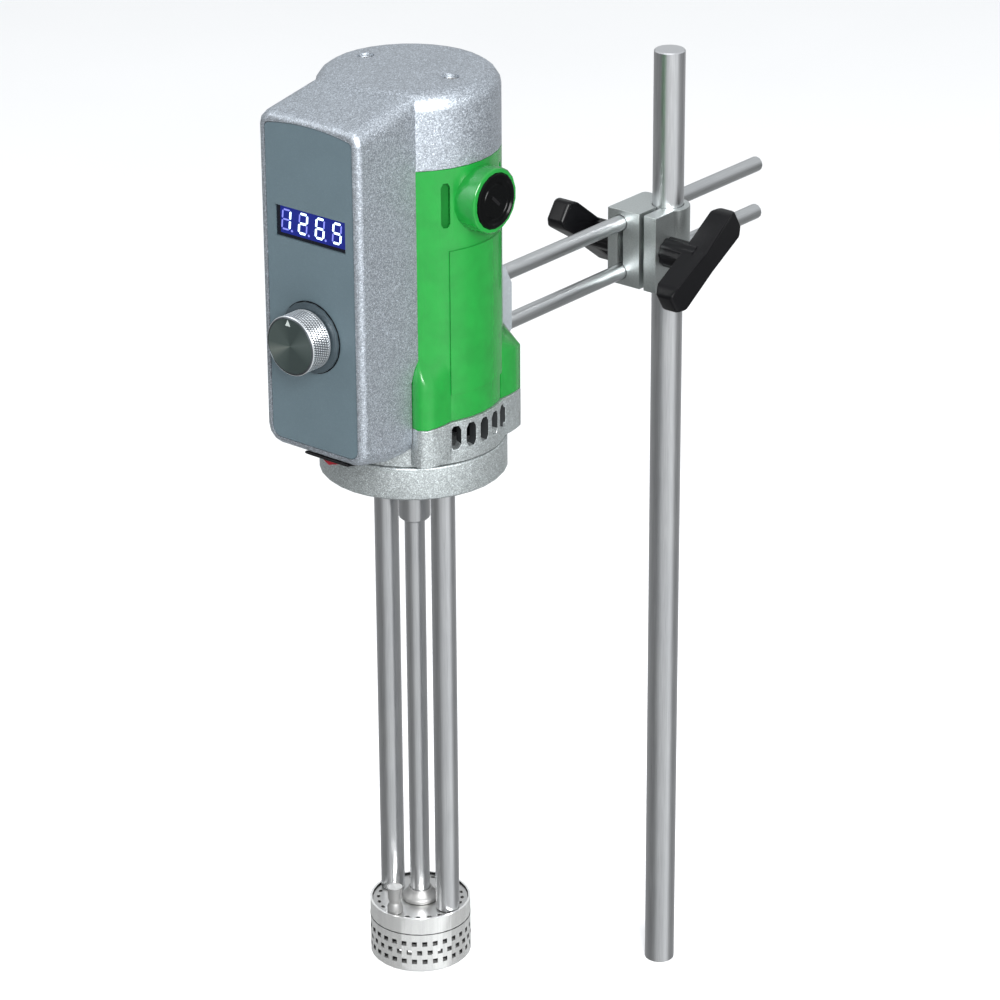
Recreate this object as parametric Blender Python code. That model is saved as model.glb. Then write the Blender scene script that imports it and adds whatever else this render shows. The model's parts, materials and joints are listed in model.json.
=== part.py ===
"""Rotor stator homogenizer: a mixer head with its arms, cross clamp and stand rod.

Metres, +Z up. The origin is the centre of the stand rod's lower end face.
The control panel faces -Y, and the arm rods run towards +Y.
"""
import math

import bmesh
import bpy
from mathutils import Matrix

MM = 0.001

# Clearances
GAP = 0.3 * MM
SLIDING_GAP = 0.35 * MM
CUT_SPARE = 10.0 * MM

# Facets round a large, a middling and a small turned surface
ROUND_LARGE = 32
ROUND_MEDIUM = 18
ROUND_SMALL = 12
ROUND_LOBE = 12
ROUND_HEAD = 30

# Stand rod
STAND_ROD_RADIUS = 8.0 * MM
STAND_ROD_LENGTH = 520.0 * MM
ROD_END_CHAMFER = 0.6 * MM

# Place of the mixer on its stand
MOTOR_TO_STAND_X = 13.5 * MM
MOTOR_TO_STAND_Y = 185.0 * MM
FLANGE_HEIGHT = 353.0 * MM

# Cross clamp
CLAMP_HEIGHT = 40.5 * MM
CLAMP_FRONT_DEPTH = 22.0 * MM
CLAMP_BLOCK_BACK = 8.4 * MM
CLAMP_SIDE_WALL = 8.0 * MM
CLAMP_EAR_THICKNESS = 7.5 * MM
CLAMP_SLIT = 3.0 * MM
CLAMP_BOSS_WALL = 3.0 * MM
CLAMP_EDGE = 0.5 * MM
SPOT_FACE_SPARE = 0.4 * MM
ARM_SLOT_WIDTH = 3.6 * MM

# Tightening screws and their T-handles
SCREW_RADIUS = 3.0 * MM
SCREW_LAND = 0.7 * MM
SCREW_REACH = 14.0 * MM
HANDLE_HUB_RADIUS = 7.8 * MM
HANDLE_HUB_LENGTH = 13.0 * MM
HANDLE_FLUTES = 10
HANDLE_FLUTE_DEPTH = 0.8 * MM
HANDLE_BAR_LENGTH = 62.0 * MM
HANDLE_BAR_WIDTH = 16.0 * MM
HANDLE_BAR_END_WIDTH = 11.5 * MM
HANDLE_BAR_DEPTH = 14.0 * MM
HANDLE_BAR_END_DEPTH = 9.5 * MM
HANDLE_BAR_EDGE = 1.6 * MM
HANDLE_STAND_ANGLE = math.radians(31.0)
HANDLE_ARM_ANGLE = math.radians(35.0)

# Arm rods and their bracket
ARM_RADIUS = 4.0 * MM
ARM_SPACING = 26.4 * MM
ARM_HEIGHT = 65.0 * MM
ARM_END_Y = 281.0 * MM
ARM_SOCKET_DEPTH = 17.0 * MM
BRACKET_REACH = 22.2 * MM
BRACKET_HALF_WIDTH = 9.0 * MM
BRACKET_HEIGHT = 42.0 * MM
BRACKET_EDGE = 1.2 * MM

# Motor shell, end case and base flange
SHELL_RADIUS = 43.8 * MM
BRACKET_FACE_Y = SHELL_RADIUS + BRACKET_REACH
SHELL_WALL = 5.3 * MM
SHELL_BORE_RADIUS = SHELL_RADIUS - SHELL_WALL
SHELL_BOTTOM = 38.5 * MM
SHELL_TOP = 164.3 * MM
CASE_STEP = 1.4 * MM
CASE_RADIUS = SHELL_RADIUS + CASE_STEP
CASE_WALL = 5.2 * MM
CASE_BORE_RADIUS = CASE_RADIUS - CASE_WALL
CASE_FLOOR = 3.2 * MM
CASE_SHAFT_HOLE_RADIUS = 6.0 * MM
FLANGE_STEP = 0.6 * MM
FLANGE_RADIUS = CASE_RADIUS + FLANGE_STEP
FLANGE_THICKNESS = 17.0 * MM
FLANGE_EDGE = 1.2 * MM
FLANGE_BORE_RADIUS = 8.2 * MM
LOBE_OUTSET = 0.5 * MM
LOBE_DISTANCE = SHELL_RADIUS + LOBE_OUTSET
LOBE_ANGLE = math.radians(38.0)
LOBE_RADIUS = 10.0 * MM
LOBE_BOTTOM = 19.0 * MM
LOBE_SHOULDER = 61.0 * MM
LOBE_TOP = 75.0 * MM
LOBE_LEAN = 12.5 * MM
VENT_COUNT = 5
VENT_PITCH = math.radians(11.2)
VENT_WIDTH = 5.5 * MM
VENT_HEIGHT = 12.6 * MM
VENT_CENTRE = 30.0 * MM
PAD_ANGLE = math.radians(25.0)
PAD_HEIGHT = 0.7 * MM
PAD_BOTTOM = 52.0 * MM
PAD_TOP = 124.0 * MM
SIDE_SLOT_ANGLE = math.radians(27.0)
SIDE_SLOT_WIDTH = 4.6 * MM
SIDE_SLOT_HEIGHT = 22.5 * MM

# Brush gear
BRUSH_BOSS_RADIUS = 16.0 * MM
BRUSH_BOSS_PROUD = 8.7 * MM
BRUSH_BOSS_REACH = SHELL_RADIUS + BRUSH_BOSS_PROUD
BRUSH_BELOW_SHELL_TOP = 17.8 * MM
BRUSH_HEIGHT = SHELL_TOP - BRUSH_BELOW_SHELL_TOP
BRUSH_CAP_RADIUS = 13.4 * MM
BRUSH_CAP_DEPTH = 6.5 * MM
BRUSH_CAP_PROUD = 1.0 * MM
BRUSH_CAP_SLOT = 3.0 * MM
BRUSH_HOLDER_RADIUS = 8.5 * MM
BRUSH_HOLDER_BACK = 24.0 * MM
BRUSH_RADIUS = 5.0 * MM
BRUSH_LENGTH = 19.0 * MM
BRUSH_SPRING_WIRE = 0.5 * MM
BRUSH_SPRING_TURNS = 4

# Motor inside
MOTOR_SHAFT_RADIUS = 4.0 * MM
SHAFT_IN_CAP = 11.0 * MM
MOTOR_SHAFT_TOP = SHELL_TOP + SHAFT_IN_CAP
MOTOR_SHAFT_BOTTOM = -12.0 * MM
BEARING_RADIUS = 11.0 * MM
BEARING_HEIGHT = 7.0 * MM
LOWER_BEARING_FLOOR = 9.0 * MM
BEARING_IN_CAP = 9.0 * MM
UPPER_BEARING_TOP = SHELL_TOP + BEARING_IN_CAP
POLE_DEPTH = 18.1 * MM
ARMATURE_RADIUS = SHELL_BORE_RADIUS - POLE_DEPTH
ARMATURE_BOTTOM = 58.0 * MM
ARMATURE_TOP = 112.0 * MM
ARMATURE_SLOTS = 12
ARMATURE_SLOT_DEPTH = 6.0 * MM
ARMATURE_SLOT_WIDTH = 2.4 * MM
FIELD_GAP = 0.6 * MM
FIELD_BOTTOM = 60.0 * MM
FIELD_TOP = 110.0 * MM
YOKE_THICKNESS = 7.5 * MM
COIL_OUTER_RADIUS = SHELL_BORE_RADIUS - YOKE_THICKNESS
COIL_HALF_ANGLE = math.radians(40.0)
COIL_OVERHANG = 6.0 * MM
COMMUTATOR_RADIUS = 12.3 * MM
COMMUTATOR_LENGTH = 19.0 * MM
FAN_TIP_GAP = 4.0 * MM
FAN_RADIUS = CASE_BORE_RADIUS - FAN_TIP_GAP
FAN_HUB_RADIUS = 9.0 * MM
FAN_BOTTOM = 23.0 * MM
FAN_TOP = 37.0 * MM
FAN_PLATE = 2.0 * MM
FAN_BLADES = 9
FAN_BLADE_THICKNESS = 1.6 * MM

# Control housing: the top cap and the control box are one casting
CAP_HEIGHT = 37.0 * MM
CAP_TOP = SHELL_TOP + CAP_HEIGHT
CAP_CROWN = 1.0 * MM
CAP_FILLET = 9.0 * MM
CAP_SCREW_DISTANCE = 26.0 * MM
CAP_SCREW_HEAD_RADIUS = 3.9 * MM
CAP_SCREW_HEAD_HEIGHT = 2.2 * MM
CAP_SCREW_SINK = 1.4 * MM
CAP_SCREW_SHANK_RADIUS = 2.0 * MM
CAP_SCREW_LENGTH = 12.0 * MM
CAP_SCREW_SOCKET_RADIUS = 1.6 * MM
BOX_HALF_WIDTH = 30.8 * MM
BOX_DEPTH = 27.2 * MM
BOX_FRONT = SHELL_RADIUS + BOX_DEPTH
BOX_FRONT_BOTTOM = 28.4 * MM
BOX_TOP_DROP = 8.3 * MM
BOX_FRONT_TOP = CAP_TOP - BOX_TOP_DROP
BOX_BACK = 24.0 * MM
BOX_BACK_DROP = 0.2 * MM
BOX_BACK_TOP = CAP_TOP - BOX_BACK_DROP
BOX_SLOPE_LENGTH = 20.0 * MM
BOX_KNEE = BOX_FRONT - BOX_SLOPE_LENGTH
BOX_KNEE_HEIGHT = 24.0 * MM
BOX_FILLET = 3.2 * MM
BOX_CORNER = 8.5 * MM
BOX_TOP_FILLET = 7.5 * MM
BOX_TOP_CROWN = 0.6 * MM
BOX_WALL = 4.0 * MM
PANEL_HALF_WIDTH = 26.6 * MM
PANEL_BOTTOM = 31.8 * MM
PANEL_TOP_MARGIN = 5.5 * MM
PANEL_SIDE_TOP = BOX_FRONT_TOP - PANEL_TOP_MARGIN
PANEL_CROWN = 2.5 * MM
PANEL_CORNER = 5.0 * MM
PANEL_TOP_CORNER = 1.5 * MM
PANEL_THICKNESS = 2.0 * MM
PANEL_SINK = 0.4 * MM

# Display, knob and switch
DISPLAY_X = -0.1 * MM
DISPLAY_HALF_WIDTH = 21.6 * MM
DISPLAY_BELOW_TOP = 54.3 * MM
DISPLAY_BOTTOM = PANEL_SIDE_TOP - DISPLAY_BELOW_TOP
DISPLAY_HEIGHT = 15.4 * MM
DISPLAY_TOP = DISPLAY_BOTTOM + DISPLAY_HEIGHT
DISPLAY_SINK = 1.0 * MM
DISPLAY_FRAME = 2.0 * MM
DISPLAY_DEPTH = 8.0 * MM
BOARD_HALF_WIDTH = 22.0 * MM
BOARD_BOTTOM = 45.0 * MM
BOARD_BELOW_TOP = 13.0 * MM
BOARD_TOP = BOX_FRONT_TOP - BOARD_BELOW_TOP
BOARD_THICKNESS = 1.6 * MM
KNOB_X = -0.6 * MM
KNOB_Z = 87.4 * MM
KNOB_RADIUS = 14.5 * MM
KNOB_LENGTH = 12.5 * MM
KNOB_KNURLS = 18
KNOB_KNURL_DEPTH = 0.35 * MM
KNOB_EDGE = 0.8 * MM
KNOB_DISH = 0.5 * MM
KNOB_PUSH = 0.8 * MM
KNOB_BORE_DEPTH = 8.0 * MM
SEAT_RING_RADIUS = 17.4 * MM
SEAT_RING_THICKNESS = 1.5 * MM
ENCODER_SHAFT_RADIUS = 3.0 * MM
ENCODER_BUSH_RADIUS = 4.5 * MM
ENCODER_HALF_SIZE = 6.5 * MM
ENCODER_DEPTH = 7.0 * MM
ENCODER_SHAFT_LENGTH = 16.0 * MM
SWITCH_X = 5.4 * MM
SWITCH_SETBACK = 8.0 * MM
SWITCH_FRONT_EDGE = BOX_FRONT - SWITCH_SETBACK
SWITCH_BEZEL_LENGTH = 27.0 * MM
SWITCH_BEZEL_WIDTH = 12.5 * MM
SWITCH_BEZEL_THICKNESS = 1.4 * MM
SWITCH_BODY_LENGTH = 23.5 * MM
SWITCH_BODY_WIDTH = 10.5 * MM
SWITCH_BODY_HEIGHT = 13.0 * MM
ROCKER_LENGTH = 20.0 * MM
ROCKER_WIDTH = 7.6 * MM
ROCKER_DEPTH = 2.6 * MM
ROCKER_RIDGE = 4.4 * MM
ROCKER_END_RISE = 0.4 * MM
ROCKER_TILT = math.radians(5.0)
ROCKER_POCKET_DEPTH = 5.5 * MM

# Support rods, drive shaft and working head
SUPPORT_RADIUS = 6.0 * MM
SUPPORT_DISTANCE = 18.2 * MM
SUPPORT_SOCKET = 8.0 * MM
HEAD_TOP = -239.0 * MM
HEAD_RADIUS = 25.6 * MM
HEAD_RIM_WALL = 1.1 * MM
HEAD_WALL = 2.8 * MM
HEAD_HEIGHT = 30.7 * MM
HEAD_LIP = 2.4 * MM
HEAD_EDGE = 1.0 * MM
INLET_RADIUS = 15.0 * MM
PLATE_SINK = 1.0 * MM
PLATE_THICKNESS = 4.0 * MM
PLATE_HOLE_DISTANCE = 21.3 * MM
PLATE_HOLE_LENGTH = 3.0 * MM
PLATE_HOLE_WIDTH = 1.7 * MM
PLATE_HOLE_ANGLES = (22.5, 37.5, 52.5, 67.5)
HOLE_COLUMNS = 30
HOLE_SIZE = 2.6 * MM
HOLE_FIRST_ROW = 14.5 * MM
HOLE_ROW_PITCH = 5.05 * MM
HOLE_ROWS = 3
BUSH_FLANGE_RADIUS = 9.3 * MM
BUSH_FLANGE_HEIGHT = 2.2 * MM
BUSH_DOME_HEIGHT = 3.6 * MM
BUSH_SPIGOT_RADIUS = 7.4 * MM
BUSH_WALL = 0.7 * MM
STUD_DISTANCE = 19.6 * MM
STUD_RADIUS = 4.0 * MM
STUD_WAIST_RADIUS = 3.0 * MM
STUD_HEIGHT = 14.0 * MM
COUPLING_RADIUS = 7.7 * MM
COUPLING_TOP = 4.0 * MM
COUPLING_BOTTOM = -29.0 * MM
COUPLING_EDGE = 1.6 * MM
DRIVE_SHAFT_RADIUS = 5.0 * MM
ROTOR_HUB_RADIUS = 8.0 * MM
ROTOR_BLADES = 6
ROTOR_BLADE_THICKNESS = 2.0 * MM
ROTOR_RUNNING_GAP = 0.5 * MM
ROTOR_TOP_GAP = 3.0 * MM
ROTOR_BOTTOM_GAP = 0.8 * MM
ROTOR_BLADE_SWEEP = math.radians(28.0)

# Directions: each turns the local Z axis to the one named
TO_RIGHT = Matrix.Rotation(math.pi / 2, 4, "Y")
TO_LEFT = Matrix.Rotation(-math.pi / 2, 4, "Y")
TO_FRONT = Matrix.Rotation(math.pi / 2, 4, "X")
TO_BACK = Matrix.Rotation(-math.pi / 2, 4, "X")
# An outline in Y and Z, pushed along +X
SIDE_OUTLINE = Matrix(((0, 0, 1, 0), (1, 0, 0, 0), (0, 1, 0, 0), (0, 0, 0, 1)))


def moved(x=0.0, y=0.0, z=0.0):
    return Matrix.Translation((x, y, z))


def turned_about_z(angle):
    return Matrix.Rotation(angle, 4, "Z")


# Materials

def surface(name, colour, roughness, metallic):
    made = bpy.data.materials.new(name)
    made.use_nodes = True
    shader = made.node_tree.nodes["Principled BSDF"]
    shader.inputs["Base Color"].default_value = (*colour, 1.0)
    shader.inputs["Roughness"].default_value = roughness
    shader.inputs["Metallic"].default_value = metallic
    return made


def make_surfaces():
    return {
        "silver_paint": surface("silver_paint", (0.42, 0.45, 0.48), 0.42, 0.6),
        "green_plastic": surface("green_plastic", (0.03, 0.45, 0.08), 0.22, 0.0),
        "panel_grey": surface("panel_grey", (0.14, 0.19, 0.22), 0.45, 0.1),
        "brushed_steel": surface("brushed_steel", (0.48, 0.49, 0.5), 0.3, 1.0),
        "polished_steel": surface("polished_steel", (0.7, 0.7, 0.7), 0.1, 1.0),
        "aluminium": surface("aluminium", (0.6, 0.62, 0.62), 0.38, 1.0),
        "black_plastic": surface("black_plastic", (0.01, 0.01, 0.012), 0.35, 0.0),
        "red_plastic": surface("red_plastic", (0.55, 0.01, 0.01), 0.25, 0.0),
        "display_blue": surface("display_blue", (0.01, 0.02, 0.25), 0.2, 0.0),
        "copper": surface("copper", (0.6, 0.25, 0.1), 0.4, 1.0),
        "brass": surface("brass", (0.6, 0.45, 0.15), 0.3, 1.0),
        "carbon": surface("carbon", (0.02, 0.02, 0.02), 0.7, 0.0),
        "laminated_steel": surface("laminated_steel", (0.25, 0.25, 0.26), 0.5, 0.9),
        "board_green": surface("board_green", (0.02, 0.15, 0.06), 0.5, 0.0),
    }


# Outlines

def arc(centre_x, centre_y, radius, start, end, steps):
    points = []
    for index in range(steps + 1):
        angle = start + (end - start) * index / steps
        points.append((centre_x + radius * math.cos(angle), centre_y + radius * math.sin(angle)))
    return points


def rectangle(x_low, x_high, y_low, y_high):
    return [(x_low, y_low), (x_high, y_low), (x_high, y_high), (x_low, y_high)]


def capsule(half_width, half_height, centre_y=0.0, steps=3):
    straight = half_height - half_width
    top = arc(0.0, centre_y + straight, half_width, 0.0, math.pi, steps)
    bottom = arc(0.0, centre_y - straight, half_width, math.pi, 2 * math.pi, steps)
    return top + bottom


def panel_outline(spare):
    """Front view of the panel: round lower corners and a crowned top edge."""
    half = PANEL_HALF_WIDTH + spare
    low = PANEL_BOTTOM - spare
    high = PANEL_SIDE_TOP + spare
    radius = PANEL_CORNER + spare
    points = arc(-half + radius, low + radius, radius, math.pi, 1.5 * math.pi, 5)
    points += arc(half - radius, low + radius, radius, 1.5 * math.pi, 2 * math.pi, 5)
    crown_steps = 10
    edge = half - PANEL_TOP_CORNER
    points.append((half, high - PANEL_TOP_CORNER))
    for index in range(crown_steps + 1):
        x = edge - 2 * edge * index / crown_steps
        points.append((x, high + PANEL_CROWN * (1 - (x / edge) ** 2)))
    points.append((-half, high - PANEL_TOP_CORNER))
    return points


# Solids

def turned(profile, steps, place=Matrix()):
    """Solid of revolution about the local Z axis from (radius, height) points."""
    solid = bmesh.new()
    points = [solid.verts.new((radius, 0.0, height)) for radius, height in profile]
    edges = [solid.edges.new(pair) for pair in zip(points, points[1:])]
    if profile[0][0] > 0.0 or profile[-1][0] > 0.0:
        edges.append(solid.edges.new((points[-1], points[0])))
    bmesh.ops.spin(
        solid, geom=points + edges, axis=(0, 0, 1), cent=(0, 0, 0),
        angle=2 * math.pi, steps=steps, use_merge=True,
    )
    bmesh.ops.remove_doubles(solid, verts=solid.verts, dist=1e-7)
    bmesh.ops.recalc_face_normals(solid, faces=solid.faces)
    solid.transform(place)
    return solid


def prism(outline, low, high, place=Matrix(), chamfer=0.0):
    """An outline in the local XY plane, pushed from low to high along local Z."""
    solid = bmesh.new()
    base = solid.faces.new([solid.verts.new((x, y, low)) for x, y in outline])
    pushed = bmesh.ops.extrude_face_region(solid, geom=[base])
    top = [item for item in pushed["geom"] if isinstance(item, bmesh.types.BMVert)]
    bmesh.ops.translate(solid, verts=top, vec=(0.0, 0.0, high - low))
    bmesh.ops.recalc_face_normals(solid, faces=solid.faces)
    if chamfer > 0.0:
        rims = [edge for edge in solid.edges if edge.verts[0].co.z == edge.verts[1].co.z]
        bmesh.ops.bevel(solid, geom=rims, offset=chamfer, segments=1, affect="EDGES")
    solid.transform(place)
    return solid


def lofted(sections):
    """Solid through outlines that have the same number of points."""
    solid = bmesh.new()
    rings = [[solid.verts.new(point) for point in section] for section in sections]
    count = len(rings[0])
    for first, second in zip(rings, rings[1:]):
        for index in range(count):
            after = (index + 1) % count
            solid.faces.new((first[index], first[after], second[after], second[index]))
    solid.faces.new(rings[0])
    solid.faces.new(rings[-1])
    bmesh.ops.recalc_face_normals(solid, faces=solid.faces)
    return solid


def block(low, high, place=Matrix()):
    return prism(rectangle(low[0], high[0], low[1], high[1]), low[2], high[2], place)


def gathered(solids):
    """One mesh that holds several solids, for a cutter or a group to be joined."""
    whole = bmesh.new()
    for solid in solids:
        holder = bpy.data.meshes.new("holder")
        solid.to_mesh(holder)
        solid.free()
        whole.from_mesh(holder)
        bpy.data.meshes.remove(holder)
    return whole


def disc_profile(radius, low, high, edge=0.0):
    if edge == 0.0:
        return [(0.0, low), (radius, low), (radius, high), (0.0, high)]
    return [(0.0, low), (radius - edge, low), (radius, low + edge),
            (radius, high - edge), (radius - edge, high), (0.0, high)]


def ring_profile(inner, outer, low, high):
    return [(inner, low), (outer, low), (outer, high), (inner, high)]


# Objects

def frame(name, place, parent=None):
    empty = bpy.data.objects.new(name, None)
    empty.location = place
    empty.parent = parent
    bpy.context.collection.objects.link(empty)
    return empty


def solid_object(name, solid, parent, finish, place=(0.0, 0.0, 0.0)):
    mesh = bpy.data.meshes.new(name)
    solid.to_mesh(mesh)
    solid.free()
    mesh.shade_smooth()
    mesh.set_sharp_from_angle(angle=math.radians(32.0))
    made = bpy.data.objects.new(name, mesh)
    made.location = place
    made.parent = parent
    bpy.context.collection.objects.link(made)
    if finish is not None:
        mesh.materials.append(finish)
    return made


def shaped(target, operation, solid, parent=None):
    """Boolean of the target with a hidden helper that shares the target's place."""
    name = target.name + "_" + operation.lower() + "_" + str(len(target.modifiers) + 1)
    helper = solid_object(name, solid, parent or target.parent, None, target.location)
    helper.hide_render = True
    helper.display_type = "WIRE"
    step = target.modifiers.new(name, "BOOLEAN")
    step.operation = operation
    step.solver = "EXACT"
    step.object = helper
    return target


def cut(target, solid):
    return shaped(target, "DIFFERENCE", solid)


def joined(target, solid):
    return shaped(target, "UNION", solid)


# Stand rod, cross clamp and T-handles

def make_stand_rod(finish):
    chamfered = disc_profile(STAND_ROD_RADIUS, 0.0, STAND_ROD_LENGTH, ROD_END_CHAMFER)
    solid_object("stand_rod", turned(chamfered, ROUND_MEDIUM), None, finish)


def clamp_outline():
    """Plan view, the stand rod's axis at the centre and the arms on the -X side."""
    boss = STAND_ROD_RADIUS + SLIDING_GAP + CLAMP_BOSS_WALL
    left = -MOTOR_TO_STAND_X - CLAMP_SIDE_WALL
    ear = CLAMP_SLIT / 2 + CLAMP_EAR_THICKNESS
    start = -math.acos(ear / boss)
    end = math.pi - math.asin(CLAMP_BLOCK_BACK / boss)
    corner = 3.0 * MM
    points = [(left, -CLAMP_FRONT_DEPTH), (ear, -CLAMP_FRONT_DEPTH)]
    points += arc(0.0, 0.0, boss, start, end, ROUND_SMALL)
    points += arc(left + corner, CLAMP_BLOCK_BACK - corner, corner, math.pi / 2, math.pi, 4)
    return points


def screw_y():
    """Distance of the tightening screws in front of the stand rod's axis."""
    return -(STAND_ROD_RADIUS + SLIDING_GAP + SCREW_LAND + SCREW_RADIUS + GAP)


def make_cross_clamp(parent, finish):
    half = CLAMP_HEIGHT / 2
    clamp = solid_object("cross_clamp", prism(clamp_outline(), -half, half, chamfer=CLAMP_EDGE),
                         parent, finish)
    past = 2.0 * MM
    ear = CLAMP_SLIT / 2 + CLAMP_EAR_THICKNESS
    left = -MOTOR_TO_STAND_X - CLAMP_SIDE_WALL
    cut(clamp, turned(disc_profile(STAND_ROD_RADIUS + SLIDING_GAP, -half - past, half + past), ROUND_MEDIUM))
    cut(clamp, block((-CLAMP_SLIT / 2, -CLAMP_FRONT_DEPTH - past, -half - past),
                     (CLAMP_SLIT / 2, -STAND_ROD_RADIUS / 2, half + past)))
    bores = []
    for side in (-1, 1):
        profile = disc_profile(ARM_RADIUS + SLIDING_GAP, -CLAMP_FRONT_DEPTH - past, CLAMP_FRONT_DEPTH)
        place = moved(-MOTOR_TO_STAND_X, 0.0, side * ARM_SPACING / 2) @ TO_BACK
        bores.append(turned(profile, ROUND_SMALL, place))
    cut(clamp, gathered(bores))
    slot = (-MOTOR_TO_STAND_X - ARM_SLOT_WIDTH / 2, -MOTOR_TO_STAND_X + ARM_SLOT_WIDTH / 2)
    cut(clamp, block((slot[0], -CLAMP_FRONT_DEPTH - past, -ARM_SPACING / 2),
                     (slot[1], CLAMP_FRONT_DEPTH, ARM_SPACING / 2)))
    hole = SCREW_RADIUS + GAP
    right_hole = disc_profile(hole, ear - SCREW_REACH - GAP, ear + past)
    left_hole = disc_profile(hole, -left - SCREW_REACH + SCREW_RADIUS - GAP, -left + past)
    across = moved(0.0, screw_y(), 0.0)
    cut(clamp, gathered([turned(right_hole, ROUND_SMALL, across @ TO_RIGHT),
                         turned(left_hole, ROUND_SMALL, across @ TO_LEFT)]))
    spot = disc_profile(HANDLE_HUB_RADIUS + SPOT_FACE_SPARE, ear, ear + CLAMP_FRONT_DEPTH)
    cut(clamp, turned(spot, ROUND_MEDIUM, across @ TO_RIGHT))


def make_screw(name, parent, direction, reach, finish):
    """Screw along its outward direction: zero is the face that the handle bears on."""
    inner = disc_profile(SCREW_RADIUS, -reach, HANDLE_HUB_LENGTH, ROD_END_CHAMFER)
    solid_object(name, turned(inner, ROUND_SMALL, direction), parent, finish)


def fluted_outline(radius, depth, flutes):
    points = []
    steps = 4
    for index in range(flutes * steps):
        angle = 2 * math.pi * index / (flutes * steps)
        wave = 0.5 - 0.5 * math.cos(flutes * angle)
        points.append(((radius - depth * wave) * math.cos(angle),
                       (radius - depth * wave) * math.sin(angle)))
    return points


def make_handle(name, parent, direction, angle, finish):
    """T-handle: a fluted hub with a bar that is thick in the middle and cut back at its ends."""
    flip = direction @ turned_about_z(angle)
    hub = prism(fluted_outline(HANDLE_HUB_RADIUS, HANDLE_FLUTE_DEPTH, HANDLE_FLUTES),
                GAP, HANDLE_HUB_LENGTH + HANDLE_BAR_DEPTH / 2, flip)
    handle = solid_object(name, hub, parent, finish)
    long = HANDLE_BAR_LENGTH / 2
    wide = HANDLE_BAR_WIDTH / 2
    tip = HANDLE_BAR_END_WIDTH / 2
    taper = 5.0 * MM
    outline = [(-long, -tip), (-long + taper, -wide), (0.0, -wide * 0.86), (long - taper, -wide),
               (long, -tip), (long, tip), (long - taper, wide), (0.0, wide * 0.86),
               (-long + taper, wide), (-long, tip)]
    bar = prism(outline, HANDLE_HUB_LENGTH, HANDLE_HUB_LENGTH + HANDLE_BAR_DEPTH)
    middle = HANDLE_HUB_LENGTH + HANDLE_BAR_DEPTH / 2
    for corner in bar.verts:
        if abs(corner.co.x) > long - taper / 2:
            corner.co.z = middle + (corner.co.z - middle) * HANDLE_BAR_END_DEPTH / HANDLE_BAR_DEPTH
    bmesh.ops.bevel(bar, geom=bar.edges[:], offset=HANDLE_BAR_EDGE, segments=2, profile=0.5,
                    affect="EDGES")
    bar.transform(flip)
    joined(handle, bar)
    cut(handle, turned(disc_profile(SCREW_RADIUS + GAP, -GAP, HANDLE_HUB_LENGTH + GAP), ROUND_SMALL, direction))


def make_arm_rods(parent, finish):
    start = BRACKET_FACE_Y - ARM_SOCKET_DEPTH + GAP
    profile = disc_profile(ARM_RADIUS, start, ARM_END_Y, 2 * ROD_END_CHAMFER)
    for name, side in (("lower_arm_rod", -1), ("upper_arm_rod", 1)):
        place = (0.0, 0.0, ARM_HEIGHT + side * ARM_SPACING / 2)
        solid_object(name, turned(profile, ROUND_SMALL, TO_BACK), parent, finish, place)


def make_arm_bracket(parent, finish):
    outline = capsule(BRACKET_HALF_WIDTH, BRACKET_HEIGHT / 2)
    body = prism(outline, -BRACKET_FACE_Y, -SHELL_RADIUS + 6.0 * MM, TO_FRONT, BRACKET_EDGE)
    bracket = solid_object("arm_bracket", body, parent, finish, (0.0, 0.0, ARM_HEIGHT))
    cut(bracket, turned(disc_profile(SHELL_RADIUS + GAP, -BRACKET_HEIGHT, BRACKET_HEIGHT), ROUND_LARGE))
    sockets = []
    for side in (-1, 1):
        profile = disc_profile(ARM_RADIUS + GAP, BRACKET_FACE_Y - ARM_SOCKET_DEPTH, BRACKET_FACE_Y + GAP)
        sockets.append(turned(profile, ROUND_SMALL, moved(0.0, 0.0, side * ARM_SPACING / 2) @ TO_BACK))
    cut(bracket, gathered(sockets))


# Motor shell, end case and flange

def lobe_centres(y_sides):
    x = LOBE_DISTANCE * math.cos(LOBE_ANGLE)
    y = LOBE_DISTANCE * math.sin(LOBE_ANGLE)
    return [(x_side * x, y_side * y) for x_side in (-1, 1) for y_side in y_sides]


def lobes(low, high, spare, y_sides=(-1, 1)):
    """The four screw pillars, whose tops slope back into the round shell."""
    radius = LOBE_RADIUS + spare
    pillars = []
    for x, y in lobe_centres(y_sides):
        levels = [(low, 1.0), (high, 1.0)]
        if high > LOBE_SHOULDER:
            levels = [(low, 1.0), (LOBE_SHOULDER + spare, 1.0),
                      (LOBE_TOP + spare, 1.0 - LOBE_LEAN / LOBE_DISTANCE)]
        circles = []
        for z, share in levels:
            ring = arc(x * share, y * share, radius, 0.0, 2 * math.pi, ROUND_LOBE)[:-1]
            circles.append([(ring_x, ring_y, z) for ring_x, ring_y in ring])
        pillars.append(lofted(circles))
    return gathered(pillars)


def side_pads():
    """Slightly raised field of the shell below each brush boss."""
    pads = []
    steps = 6
    outer = SHELL_RADIUS + PAD_HEIGHT
    inner = SHELL_RADIUS - 2.0 * MM
    for turn in (0.0, math.pi):
        outline = arc(0.0, 0.0, outer, turn - PAD_ANGLE, turn + PAD_ANGLE, steps)
        outline += arc(0.0, 0.0, inner, turn + PAD_ANGLE, turn - PAD_ANGLE, steps)
        pads.append(prism(outline, PAD_BOTTOM, PAD_TOP))
    return gathered(pads)


def radial_slots(half_width, half_height, centre, angles, near, far):
    slots = []
    for angle in angles:
        outline = capsule(half_width, half_height, centre)
        slots.append(prism(outline, near, far, turned_about_z(angle) @ SIDE_OUTLINE))
    return gathered(slots)


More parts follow.
